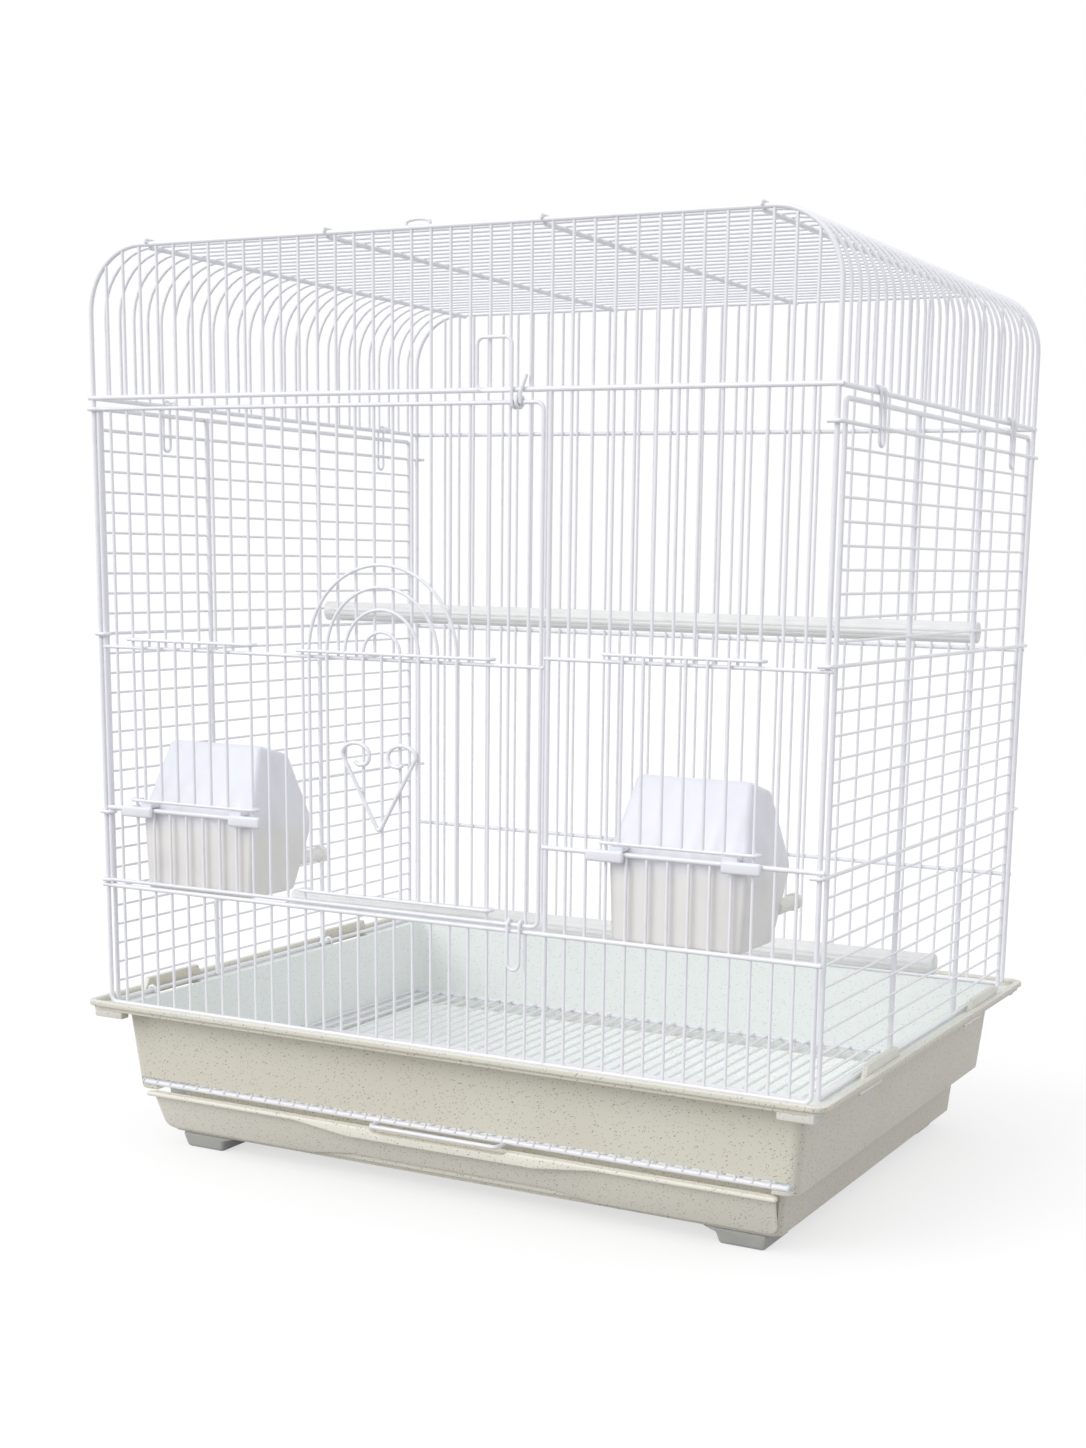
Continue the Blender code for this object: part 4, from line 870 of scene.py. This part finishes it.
def addGrate():
    low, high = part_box("floor_grate")
    handleLow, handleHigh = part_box("grate_handle")
    thick = grate["wire"]
    level = (low.z + high.z) / 2
    wireZ, backBarZ, handleZ = (level + part for part in grate["levels"])
    firstX = low.x + thick / 2
    row = ((high.x - low.x - thick) / grate["gaps"], 0, 0), grate["gaps"] + 1
    near, drop = grate["frontBarPlace"]
    nearZ = rimZ - drop

    def crossBar(y, height, thickness):
        return rod((low.x, y, height), (high.x, y, height), thickness)

    ends = [(firstX, near + y, nearZ + z) for y, z in (grate["tickFrom"], grate["tickTo"])]
    half = handleHigh.x - grate["handle"] / 2
    far = handleLow.y + grate["handle"] / 2
    handle = [(-half, near, handleZ), (-half, far, handleZ), (half, far, handleZ), (half, near, handleZ)]
    finishWires([
        rodRow((firstX, near, wireZ), (firstX, high.y, wireZ), thick, *row),
        crossBar(near, nearZ, grate["frontBar"]),
        rodRow(*ends, grate["tick"], *row),
        crossBar(high.y - grate["backBar"] / 2, backBarZ, grate["backBar"]),
        crossBar(middle("grate_cross_bar", 1), level + thick / 2 + grate["crossBar"] / 2, grate["crossBar"]),
        bentWire(bend(handle, grate["handleCorner"]), grate["handle"]),
    ], "floorGrate", "floor_grate", ["floor_grate", "grate_cross_bar", "grate_handle"])


# Front and back panels

fixedPart = {"firstWire": 25, "cup": (28, 35)}         # its border, and the guide wires of its cup


def uprights(first, last, low, high, y=frontY):
    x = upright(first)
    return rodRow((x, y, low), (x, y, high), wire, (wirePitch, 0, 0), last - first + 1)


def hoodUprights(low, y):
    # the flat stretch of the roof is one row; in its corners each wire has its own height
    gaps = cage["frontGaps"]
    flat = [number for number in range(1, gaps) if archHeight(upright(number)) >= archZ - 0.0001]
    cornerWires = [upright(mirrored) for number in range(1, flat[0]) for mirrored in (number, gaps - number)]
    return [uprights(flat[0], flat[-1], low, archZ, y)] + [
        rod((x, y, low), (x, y, archHeight(x)), wire) for x in cornerWires]


def borderLoop(y):
    # one bent wire: both posts, the arch over them and the lowest bar
    corner = cage["borderCorner"]
    corners = [(-halfWidth, y, baseZ), (-halfWidth, y, archZ), (halfWidth, y, archZ), (halfWidth, y, baseZ)]
    return bentWire(bend(corners, [corner, archRadius, archRadius, corner], 12, True), bar, True)


def levelBar(x0, x1, height, thickness, y=barY):
    return rod((x0, y, height), (x1, y, height), thickness)


def addFrontPanel():
    first = fixedPart["firstWire"]
    near, far = fixedPart["cup"]
    end = cage["frontGaps"] - 1
    edge = upright(first)
    past = halfWidth + bar / 2 + cage["barEnd"]
    inner = edge - bar / 2 - cage["barEnd"] / 2
    finishWires([
        borderLoop(frontY),
        uprights(1, first - 1, baseZ - over, stripZ + over),
        rod((edge, frontY, baseZ - over), (edge, frontY, hoodZ + over), bar),
        *hoodUprights(hoodZ - over, frontY),
        uprights(first + 1, near, baseZ - over, hoodZ),
        uprights(far, end, baseZ - over, hoodZ),
        uprights(near + 1, far - 1, baseZ - over, sillZ + over),
        uprights(near + 1, far - 1, fixedMidZ - over, hoodZ),
        levelBar(-past, past, stripZ, bar),
        levelBar(-past, past, hoodZ, bar),
        levelBar(inner, past, sillZ, bar),
        levelBar(inner, past, fixedMidZ, doorBar),
    ], "frontPanel", "cage", ["front_lower_panel", "door_hinge_post", "front_upper_panel", "front_inner_strip",
                              "front_outer_strip", "front_cup_sill", "front_hood_panel"])


def addBackPanel():
    rails = ["back_rail_lower", "back_rail_mid", "back_rail_hood"]
    railY = backY + wire / 2 + bar / 2 - cage["bite"]
    past = halfWidth + bar / 2
    parts = [borderLoop(backY), *hoodUprights(baseZ - over, backY)]
    parts += [levelBar(-past, past, middle(node, 2), bar, railY) for node in rails]
    finishWires(parts, "backPanel", "cage", ["back_panel", *rails])


# Side panels

sidePanel = {
    "ties": (10, 19, 29),      # level wires that hook round the corner posts
    "rows": ((1, 9), (11, 18), (20, 28)),  # the others
    "tie": 0.0020,             # thickness of a tie
    "tieOut": 0.0025,          # from the middle of a post
    "tieBend": 0.0016,
    "tieEnd": 0.0040,
    "frontIn": {"left": 0.0054, "right": 0.0100},      # front border behind the front panel
    "backIn": 0.0100,
    "corner": 0.003,
}


def tieRoute(x, side, height):
    # a level wire whose ends pass the corner posts outside and turn in across them
    outer = x + side * sidePanel["tieOut"]
    reach = backY + sidePanel["tieOut"]
    end = sidePanel["tieEnd"]
    front = [(x - end, -reach, height), (outer, -reach, height)]
    if side < 0:
        front = [(x, frontY + wire, height)]       # the door's rings are in front of it
    return bend([*front, (outer, reach, height), (x - side * end, reach, height)], sidePanel["tieBend"])


def addSidePanel(name, side):
    x = side * halfWidth
    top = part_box(f"side_panel_{name}")[1].z
    near = frontY + sidePanel["frontIn"][name]
    far = backY - sidePanel["backIn"]
    thick, post = cage["sideWire"], cage["post"]
    parts = []
    for first, last in sidePanel["rows"]:
        height = baseZ + sideStep * first
        parts.append(rodRow((x, near, height), (x, far, height), thick, (0, 0, sideStep), last - first + 1))
    for number in sidePanel["ties"]:
        parts.append(bentWire(tieRoute(x, side, baseZ + sideStep * number), sidePanel["tie"]))
    corners = [(x, near, baseZ), (x, near, sideTopZ), (x, far, sideTopZ), (x, far, baseZ)]
    parts.append(bentWire(bend(corners, sidePanel["corner"], 6, True), bar, True))
    postX = x - side * (thick / 2 + post / 2 - gap)
    posts = [f"side_post_{name}_{number}" for number in (1, 2)]
    for node in posts:
        y = middle(node, 1)
        parts.append(rod((postX, y, baseZ - bar / 2), (postX, y, top), post))
    finishWires(parts, f"sidePanel{name.capitalize()}", "cage", [f"side_panel_{name}", *posts])


# Roof

roof = {
    "hoopEnd": 0.4,            # hoops past the side bar's middle, as a share of the bar
    "tieBack": 0.0040,         # where the wire round the front arch meets a support
    "tieOut": 0.0006,          # that wire in front of the arch
    "tieDown": 0.0010,
    "tieBend": 0.0009,
}


def addRoof():
    top = roofZ - wire / 2
    firstY = frontY + depthPitch
    low = hoodZ - bar * roof["hoopEnd"]
    corners = [(halfWidth, firstY, low), (halfWidth, firstY, top), (-halfWidth, firstY, top), (-halfWidth, firstY, low)]
    hoop = bentWire(bend(corners, cage["archRadius"] - wire / 2, 10), wire)
    parts = [repeat(hoop, (0, depthPitch, 0), cage["depthGaps"] - 1)]
    end = backY - bar / 2 - gap
    for x in (-halfWidth - cage["weld"], halfWidth + cage["weld"]):
        parts.append(rod((x, -end, hoodZ), (x, end, hoodZ), bar))
    finishWires(parts, "roofMesh", "cage", ["roof_panel"])

    supports = []
    nodes = [f"roof_support_{number}" for number in (1, 2, 3, 4)]
    z = roofZ - wire - bar / 2 + cage["bite"]
    above = roofZ + wire / 2
    inside = -end + roof["tieBack"]
    outside = frontY - bar / 2 - roof["tieOut"]
    for node in nodes:
        x = middle(node, 0)
        supports.append(rod((x, -end, z), (x, end, z), bar))
        tie = [(x, inside, z), (x, inside, above), (x, outside, above), (x, outside, roofZ - roof["tieDown"])]
        supports.append(bentWire(bend(tie, roof["tieBend"], 4), cage["supportEnd"]))
    finishWires(supports, "roofSupports", "cage", nodes)


hangingLoop = {"steps": 16, "fullness": 0.6}       # a lower fullness makes its shoulders squarer


def addHangingLoop():
    low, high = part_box("hanging_loop")
    thick = high.y - low.y
    half = (high.x - low.x - thick) / 2
    rise = high.z - thick / 2 - low.z
    x, y = middle("hanging_loop", 0), middle("hanging_loop", 1)
    steps = hangingLoop["steps"]
    route = [(x - half * math.cos(angle), y, low.z + rise * math.sin(angle) ** hangingLoop["fullness"])
             for angle in (math.pi * step / steps for step in range(steps + 1))]
    finishWires([bentWire(route, thick)], "hangingLoop", "cage", ["hanging_loop"])


# Big door

bigDoor = {
    "frame": 0.0022,
    "leftEdge": 0.0033,        # left border from the post
    "rightEdge": 0.0038,       # right border from the fixed part's border
    "corner": 0.0040,
    "eye": 0.0027,             # hinge eye's radius, to the middle of its wire
    "eyeOut": (0.0030, 0.0007),            # where its wire leaves the circle
    "eyeEnd": 0.0058,          # where it runs into the bar, from the post
    "ring": 0.0022,            # rings round the post and the door's left border
    "ringGap": 0.0002,
    "ringLevels": (10, 19),    # at these level wires of the side panel
    "cup": (2, 9),             # guide wires of its feeder door and of the small door
    "smallDoor": (12, 22),
}


def hingeEye(height):
    # a bar's end that goes once round the left post
    post = Vector((-halfWidth, frontY, height))
    outX, outY = bigDoor["eyeOut"]
    return turn(post, bigDoor["eye"], 20, 270, right, back, 14) + [
        post + Vector((outX, outY - bigDoor["eye"], 0)), post + Vector((bigDoor["eyeEnd"], -cage["weld"], 0))]


def addBigDoor():
    left = -halfWidth + bigDoor["leftEdge"]
    edge = upright(fixedPart["firstWire"]) - bigDoor["rightEdge"]
    past = doorBar * cage["over"]
    base, top = doorBaseZ - past, doorTopZ + past
    first, cupEnd = bigDoor["cup"]
    smallStart, smallEnd = bigDoor["smallDoor"]
    # frame: an eye round the post, the top bar, the right border, the lowest bar and a second eye
    start = bigDoor["eyeEnd"] - halfWidth
    corners = [(start, barY, doorTopZ), (edge, barY, doorTopZ), (edge, barY, doorBaseZ), (start, barY, doorBaseZ)]
    route = hingeEye(doorTopZ) + bend(corners, bigDoor["corner"]) + hingeEye(doorBaseZ)[::-1]
    parts = [bentWire(route, bigDoor["frame"]), rod((left, frontY, doorBaseZ), (left, frontY, doorTopZ), bar)]
    reach = (bar + bigDoor["ring"]) / 2 + bigDoor["ringGap"]
    for number in bigDoor["ringLevels"]:
        height = baseZ + sideStep * number
        ring = turn((-halfWidth, frontY, height), reach, 90, 270, right, back, 10)
        ring += turn((left, frontY, height), reach, 270, 450, right, back, 10)
        parts.append(bentWire(ring, bigDoor["ring"], True))
    parts += [uprights(near, far, base, top)
              for near, far in ((1, first), (cupEnd, smallStart), (smallEnd, fixedPart["firstWire"] - 1))]
    parts += [
        uprights(first + 1, cupEnd - 1, base, sillZ + past),
        uprights(first + 1, cupEnd - 1, doorMidZ - past, top),
        uprights(smallStart + 1, smallEnd - 1, doorMidZ - past, top),
        levelBar(left - bar / 2, edge + cage["barEnd"], doorMidZ, doorBar),
        levelBar(left - bar / 2, upright(cupEnd) + wire / 2, sillZ, bar),
    ]
    finishWires(parts, "bigDoor", "big_door", ["door_upper_panel", "door_left_strip", "door_cup_sill",
                                               "door_middle_strip", "door_sill", "door_right_strip"])


# Sliding doors

slide = {
    "wire": 0.0018,
    "bar": 0.0019,             # its eyes go round the guide wires, as wide as the doors stand off them
    "pitch": 0.0114,
    "smallMiddle": -0.02825,
    "smallArches": 4,
    "smallEnd": 0.0008,        # its middle wire past the bar
    "feederFirst": 0.0087,
    "feederBars": 6,
    "feederEnd": 0.0007,       # wires past the bars
}
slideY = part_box("feeder_door_right")[0].y + slide["wire"] / 2


def slidingBar(leftGuide, rightGuide, height):
    radius = frontY - slideY
    route = turn((upright(leftGuide), frontY, height), radius, 50, 270, right, back, 12)
    route += turn((upright(rightGuide), frontY, height), radius, 270, 490, right, back, 12)
    return bentWire(route, slide["bar"])


def addSmallDoor():
    low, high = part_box("small_door")
    pitch, thick, x = slide["pitch"], slide["wire"], slide["smallMiddle"]
    base = low.z + doorBar / 2
    archBar = high.z - thick / 2 - pitch * slide["smallArches"]
    parts = [rod((x, slideY, base), (x, slideY, archBar + slide["smallEnd"]), thick)]
    for number in range(1, slide["smallArches"] + 1):
        radius = pitch * number
        arch = turn((x, slideY, archBar), radius, 0, 180, right, upward, 8 + 6 * number)
        parts.append(bentWire([(x + radius, slideY, base), *arch, (x - radius, slideY, base)], thick))
    parts += [slidingBar(*bigDoor["smallDoor"], height) for height in (archBar, base)]
    finishWires(parts, "smallDoor", "small_door", ["small_door"])


heart = {
    "wire": 0.0022,
    "middle": -0.0288,
    "curl": 0.0085,            # half width of a curl
    "squash": 0.68,            # its half height, as a share of that
    "curlOut": 0.0144,         # curl centres from the middle
    "swell": ((180, 1.0), (228, 1.13), (252, 1.02), (284, 0.60)),      # a curl's radius at angles in degrees
    "tipBend": 0.0016,
}


def curlRoute(centre, tip):
    # from a leg's tangent point round over the top, down the inner side and into a short hook
    flat = Vector((centre.x - tip.x, 0, (centre.z - tip.z) / heart["squash"]))
    lean = math.degrees(math.atan2(flat.z, flat.x))
    start = lean - 90 + math.degrees(math.asin(heart["curl"] / flat.length))
    swell = ((start, 1.0), *heart["swell"])
    route = []
    for (angle, size), (nextAngle, nextSize) in zip(swell, swell[1:]):
        steps = math.ceil((nextAngle - angle) / 8)
        for share in (step / steps for step in range(steps)):
            turned = math.radians(angle + (nextAngle - angle) * share)
            radius = heart["curl"] * (size + (nextSize - size) * share * share * (3 - 2 * share))
            route.append(centre + (right * math.cos(turned) + upward * math.sin(turned) * heart["squash"]) * radius)
    return route


def addHeart():
    low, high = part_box("heart_ornament")
    y = (low.y + high.y) / 2
    x, thick = heart["middle"], heart["wire"]
    tip = Vector((x, y, low.z + thick * 0.6))
    centre = Vector((x + heart["curlOut"], y, high.z - thick / 2 - heart["curl"] * heart["squash"]))
    rightCurl = curlRoute(centre, tip)
    leftCurl = [Vector((2 * x - point.x, y, point.z)) for point in rightCurl]
    route = leftCurl[:0:-1] + bend([leftCurl[0], tip, rightCurl[0]], heart["tipBend"]) + rightCurl[1:]
    finishWires([bentWire(route, thick)], "heart", "small_door", ["heart_ornament"])


def addFeederDoor(name, guides):
    node = f"feeder_door_{name}"
    low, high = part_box(node)
    base, top = low.z + doorBar / 2, high.z - doorBar / 2
    x = upright(guides[0]) + slide["feederFirst"]
    past = slide["feederEnd"]
    finishWires([
        rodRow((x, slideY, base - past), (x, slideY, top + past), slide["wire"], (slide["pitch"], 0, 0),
               slide["feederBars"]),
        slidingBar(*guides, base),
        slidingBar(*guides, top),
    ], f"feederDoor{name.capitalize()}", node, [node])


# Latches, clips and hooks

latch = {
    "wire": 0.0018,
    "coil": 0.0026,            # coil radius round a bar
    "corner": 0.0038,
    "coilPitch": 0.0024,
    "coilTurns": 2,
    "coilSteps": 14,           # in one turn
    "handleLeft": 0.0028,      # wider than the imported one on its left
    "handleFoot": 0.0054,      # lower edge of the handle above the door's top bar
    "handleOpen": 0.0006,      # its end short of the coil
    "coilStart": 0.0010,
    "tailLean": 0.0036,
    "tailRise": 0.0130,
    "tailBend": 0.0040,
}


def addTopLatch():
    low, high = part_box("top_latch")
    thick, pitch, turns, steps = latch["wire"], latch["coilPitch"], latch["coilTurns"], latch["coilSteps"]
    leftX = low.x + thick / 2 - latch["handleLeft"]
    tail = high.x - thick / 2
    rightX = tail - pitch * turns
    plane = frontY - latch["coil"]
    top = high.z - thick / 2
    low = doorTopZ + latch["handleFoot"]
    route = bend([(rightX - latch["handleOpen"], plane, low), (leftX, plane, low), (leftX, plane, top),
                  (rightX, plane, top), (rightX, plane, doorTopZ + latch["coilStart"])], latch["corner"])
    coil = turn((rightX, frontY, doorTopZ), latch["coil"], 180, 180 + 360 * turns, back, upward, steps * turns)
    route += [point + right * pitch * step / steps for step, point in enumerate(coil)][1:]
    route += bend([route[-1], (tail, plane, doorTopZ + latch["tailBend"]),
                   (tail + latch["tailLean"], plane, doorTopZ + latch["tailRise"])], latch["tailBend"])[1:]
    finishWires([bentWire(route, thick)], "topLatch", "top_latch", ["top_latch"])


def hungLoop(start, end, radius, outward, across, startAngle, lowest):
    # a wire that comes over a bar, down, round a bend and up over the bar again
    half = (Vector(end) - Vector(start)).length / 2
    bottom = Vector(start) + outward * radius + across * half
    bottom.z = lowest + latch["wire"] / 2 + half
    return (turn(start, radius, startAngle, 0, outward, upward, 10) + turn(bottom, half, 180, 360, across, upward, 10)
            + turn(end, radius, 0, startAngle, outward, upward, 10))


def addBottomLatch():
    low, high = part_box("bottom_latch")
    thick = latch["wire"]
    ends = [Vector((x, frontY, doorBaseZ)) for x in (low.x + thick / 2, high.x - thick / 2)]
    route = hungLoop(*ends, latch["coil"], -back, right, 150, low.z)
    finishWires([bentWire(route, thick)], "bottomLatch", "bottom_latch", ["bottom_latch"])


def addHoodClip(number):
    # hung over the roof's side bar, with two legs that meet in a narrow bend
    node = f"hood_clip_{number}"
    low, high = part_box(node)
    thick = latch["wire"]
    side = 1 if low.x > 0 else -1
    reach = max(abs(low.x), abs(high.x)) - halfWidth - thick / 2
    ends = [Vector((side * halfWidth, y, hoodZ)) for y in (low.y + thick / 2, high.y - thick / 2)]
    route = hungLoop(*ends, reach, right * side, back, 190, low.z)
    finishWires([bentWire(route, thick)], f"hoodClip{number}", node, [node])


def addBaseHook(number):
    # round the side panel's lowest bar, down through its slot, with a foot along the wall
    node = f"base_hook_{number}"
    low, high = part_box(node)
    side = 1 if low.x > 0 else -1
    curl = bar / 2 + gap + wire / 2
    legEnd, footY = (high.y, low.y) if side > 0 else (low.y, high.y)
    legY = legEnd + side * (baseHook["back"] - wire / 2)
    footZ = low.z + wire / 2 - baseHook["drop"]
    route = turn((side * halfWidth, legY, baseZ), curl, 0, 180, right * side, upward, 12)
    inner = side * (halfWidth - curl)
    route += bend([route[-1], (inner, legY, footZ), (inner, footY, footZ)], baseHook["bend"])[1:]
    finishWires([bentWire(route, wire)], f"baseHook{number}", node, [node])


# Cups

cup = {
    "front": 0.0029,           # behind the wires' middle
    "baseRise": 0.0665,        # heights above the tub's rim
    "brow": 0.1110,
    "hood": 0.1508,
    "bulge": 0.1046,
    "halfBase": 0.0358,
    "half": 0.0380,
    "halfHood": 0.0316,
    "hoodFront": 0.0208,
    "hoodBack": 0.0468,
    "hoodDrop": 0.0068,        # its back edge is lower
    "bulgeBack": 0.0612,
    "baseBack": 0.0452,
    "wall": 0.0018,
    "rounding": 0.0026,
    "wallEdge": 0.0005,
    "ear": (0.0212, 0.0030, 0.0062),       # width, thickness, height
    "earDrop": 0.0022,
    "earSpread": 0.0372,
    "earGap": 0.0004,          # between the ears and the wires
    "earEdge": 0.0014,
    "arm": (0.0080, 0.0027),
    "armIn": (0.0004, 0.0002), # how far it lies inside the ear's end and below its top
    "armEdge": 0.0005,
    "shift": {"left": -0.0010, "right": -0.0024},
}


def cupShell(centreX):
    # a block with a ring of edges at its widest place; each ring is then drawn to its size
    half, front, bulgeBack = cup["half"], cup["front"], cup["bulgeBack"]
    low, high, waist = (rimZ + cup[height] for height in ("baseRise", "hood", "brow"))
    near, far = frontY + front, frontY + bulgeBack
    item = block((centreX - half, near, low), (centreX + half, far, high))
    openMesh(item)
    cutAcross(upward, waist)
    middleY = (near + far) / 2
    for height, ringHalf, ringFront, ringBack, rise in (
            (low, cup["halfBase"], front, cup["baseBack"], 0),
            (high, cup["halfHood"], cup["hoodFront"], cup["hoodBack"], -cup["hoodDrop"]),
            (waist, half, front, bulgeBack, cup["bulge"] - cup["brow"])):
        def level(place):
            return abs(place.z - height) < close

        scalePoints(item, level, (ringHalf / half, 1, 1), (centreX, middleY, height))
        movePoints(item, lambda place: level(place) and place.y < middleY, (0, ringFront - front, 0))
        movePoints(item, lambda place: level(place) and place.y > middleY, (0, ringBack - bulgeBack, rise))
    closeMesh()
    softenEdges(item, cup["rounding"], 4, 12)
    # the bird's side is open above the bulge
    openMesh(item)
    slope = Vector((0, cup["hood"] - cup["hoodDrop"] - cup["bulge"], bulgeBack - cup["hoodBack"])).normalized()
    selectFaces(item, lambda place, normal: normal.dot(slope) > 0.985)
    bpy.ops.mesh.delete(type="FACE")
    closeMesh()
    solid = item.modifiers.new("wall", "SOLIDIFY")
    solid.thickness = cup["wall"]
    solid.offset = -1
    solid.use_even_offset = True
    applyModifiers(item)
    return softenEdges(item, cup["wallEdge"], 2, 60)


def addCup(name, guides, body):
    centreX = (upright(guides[0]) + upright(guides[1])) / 2 + cup["shift"][name]
    parts = [cupShell(centreX)]
    width, thick, height = cup["ear"]
    armWide, armTall = cup["arm"]
    endIn, topIn = cup["armIn"]
    sillTop = sillZ + bar / 2 + gap
    earTop = sillTop + armTall - cup["earDrop"]
    face = frontY - wire / 2 - cup["earGap"]
    armBack = frontY + cup["front"] + cup["wall"] * 1.2
    for side in (-1, 1):
        earX = centreX + side * cup["earSpread"]
        inner = earX - side * (width / 2 - endIn)
        ear = block((earX - width / 2, face - thick, earTop - height), (earX + width / 2, face, earTop))
        parts.append(softenEdges(ear, cup["earEdge"], 4))
        arm = block((inner, face - thick / 2, sillTop), (inner + side * armWide, armBack, sillTop + armTall - topIn))
        parts.append(softenEdges(arm, cup["armEdge"]))
    finishPiece(joinParts(parts), f"cup{name.capitalize()}", cupLook, body, [f"feeder_cup_{name}"], 35)


peg = {
    "stem": 0.0038,
    "cap": 0.0045,
    "capLong": 0.0050,
    "root": 0.0045,            # stem inside the cup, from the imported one's end
    "sides": 28,
    "edge": 0.0011,
}


def addPeg(name, body):
    node = f"cup_peg_{name}"
    low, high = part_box(node)
    x, z = middle(node, 0), middle(node, 2)
    startY = low.y - peg["root"]
    capY = high.y - peg["capLong"]
    deselectAll()
    bpy.ops.mesh.primitive_cylinder_add(vertices=peg["sides"], radius=peg["stem"], depth=high.y - startY,
                                        location=(x, (startY + high.y) / 2, z), rotation=(math.pi / 2, 0, 0))
    item = settle(bpy.context.object)
    openMesh(item)
    cutAcross(back, capY)
    selectFaces(item, lambda place, normal: place.y > capY and abs(normal.y) < 0.1)
    bpy.ops.mesh.extrude_region_shrink_fatten(TRANSFORM_OT_shrink_fatten={"value": peg["cap"] - peg["stem"]})
    closeMesh()
    softenEdges(item, peg["edge"], 3, 50)
    finishPiece(item, f"peg{name.capitalize()}", creamLook, body, [node])


# Perches

perch = {
    "radius": 0.0060,
    "flutes": 12,
    "fluteDeep": 0.0006,
    "fluteShare": 0.1,         # half of a flute's width, as a share of their pitch
    "cap": 0.0040,             # smooth ferrule at each end
    "step": 0.0008,            # from the ferrule down to the flutes
    "edge": 0.0008,
    "places": {"upper_perch": (0.0500, 0.0780), "lower_perch": (0.0140, 0.0280)},
}


def addPerch(node, name):
    low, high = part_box(node)
    z = (low.z + high.z) / 2
    leftY, rightY = perch["places"][node]
    start = Vector((low.x, leftY, z))
    end = Vector((high.x, rightY, z))
    along = end - start
    deselectAll()
    bpy.ops.mesh.primitive_cylinder_add(vertices=perch["flutes"] * 4, radius=perch["radius"], depth=along.length)
    item = bpy.context.object
    openMesh(item)
    fluted = along.length / 2 - perch["cap"]
    for place in (fluted, fluted - perch["step"]):
        cutAcross(upward, place)
        cutAcross(upward, -place)
    pitch = 2 * math.pi / perch["flutes"]

    def inFlute(place):
        share = (math.atan2(place.y, place.x) / pitch) % 1
        return abs(place.z) < fluted - perch["step"] / 2 and min(share, 1 - share) < perch["fluteShare"]

    ratio = 1 - perch["fluteDeep"] / perch["radius"]
    scalePoints(item, inFlute, (ratio, ratio, 1), (0, 0, 0))
    closeMesh()
    softenEdges(item, perch["edge"], 3, 60)
    item.rotation_euler = along.to_track_quat("Z", "Y").to_euler()
    item.location = (start + end) / 2
    finishPiece(settle(item), name, perchLook, "cage", [node], 50)


# Floor and light

studio = {
    "floorSize": 12,
    "floorColour": (0.36, 0.36, 0.36),
    "floorGlow": 0.66,         # what the floor gives the camera on top of its own colour
    "ambient": (0.97, 0.975, 1.0),
    "ambientStrength": 0.91,
    "keyTurn": (31, -31),      # degrees: above the horizon, to the left of the front
    "keyStrength": 1.30,
    "keySpread": 45,
}


def whiteForCamera(tree):
    # 1 for camera, mirror and glass rays, 0 for the light that falls on the cage
    rays = addNode(tree, "LightPath").outputs
    seen = calculate(tree, "MAXIMUM", rays["Is Camera Ray"], rays["Is Glossy Ray"])
    return calculate(tree, "MAXIMUM", seen, rays["Is Transmission Ray"])


def addFloor():
    deselectAll()
    bpy.ops.mesh.primitive_plane_add(size=studio["floorSize"], location=(0, 0, 0))
    floor = bpy.context.object
    floor.name = "studioFloor"
    material, tree, shader = newMaterial("paleFloor", studio["floorColour"], 1.0)
    strength = calculate(tree, "MULTIPLY", whiteForCamera(tree), studio["floorGlow"])
    feed(tree, shader, {"Specular IOR Level": 0, "Emission Color": (1, 1, 1, 1), "Emission Strength": strength})
    floor.data.materials.append(material)


def addLight():
    world = bpy.data.worlds.new("paleStudio")
    world.use_nodes = True
    tree = world.node_tree
    soft = feed(tree, tree.nodes["Background"],
                {"Color": (*studio["ambient"], 1), "Strength": studio["ambientStrength"]})
    white = addNode(tree, "Background", {"Color": (1, 1, 1, 1), "Strength": 1})
    mix = addNode(tree, "MixShader", {0: whiteForCamera(tree), 1: soft.outputs["Background"],
                                      2: white.outputs["Background"]})
    feed(tree, tree.nodes["World Output"], {"Surface": mix.outputs["Shader"]})
    bpy.context.scene.world = world
    deselectAll()
    bpy.ops.object.light_add(type="SUN")
    key = bpy.context.object
    key.name = "keyLight"
    height, turned = (math.radians(angle) for angle in studio["keyTurn"])
    towards = Vector((math.sin(turned) * math.cos(height), -math.cos(turned) * math.cos(height), math.sin(height)))
    key.rotation_euler = towards.to_track_quat("Z", "Y").to_euler()
    key.data.energy = studio["keyStrength"]
    key.data.angle = math.radians(studio["keySpread"])


deselectAll()
addCamera()
addFloor()
addLight()
print("camera, floor and light are set")
addTub()
addFeet()
print("tub and feet are made")
addDrawer()
addGrate()
print("drawer and grate are made")
addFrontPanel()
addBackPanel()
addSidePanel("right", 1)
addSidePanel("left", -1)
addRoof()
addHangingLoop()
print("panels and roof are made")
addBigDoor()
addSmallDoor()
addHeart()
addFeederDoor("left", bigDoor["cup"])
addFeederDoor("right", fixedPart["cup"])
print("doors are made")
addTopLatch()
addBottomLatch()
for clipNumber in (1, 2, 3, 4):
    addHoodClip(clipNumber)
    addBaseHook(clipNumber)
print("latches, clips and hooks are made")
for cupName, cupGuides, cupBody in (("left", bigDoor["cup"], "big_door"), ("right", fixedPart["cup"], "cage")):
    addCup(cupName, cupGuides, cupBody)
    addPeg(cupName, cupBody)
addPerch("upper_perch", "upperPerch")
addPerch("lower_perch", "lowerPerch")
print("cups and perches are made")

bpy.context.scene.view_settings.view_transform = "Standard"
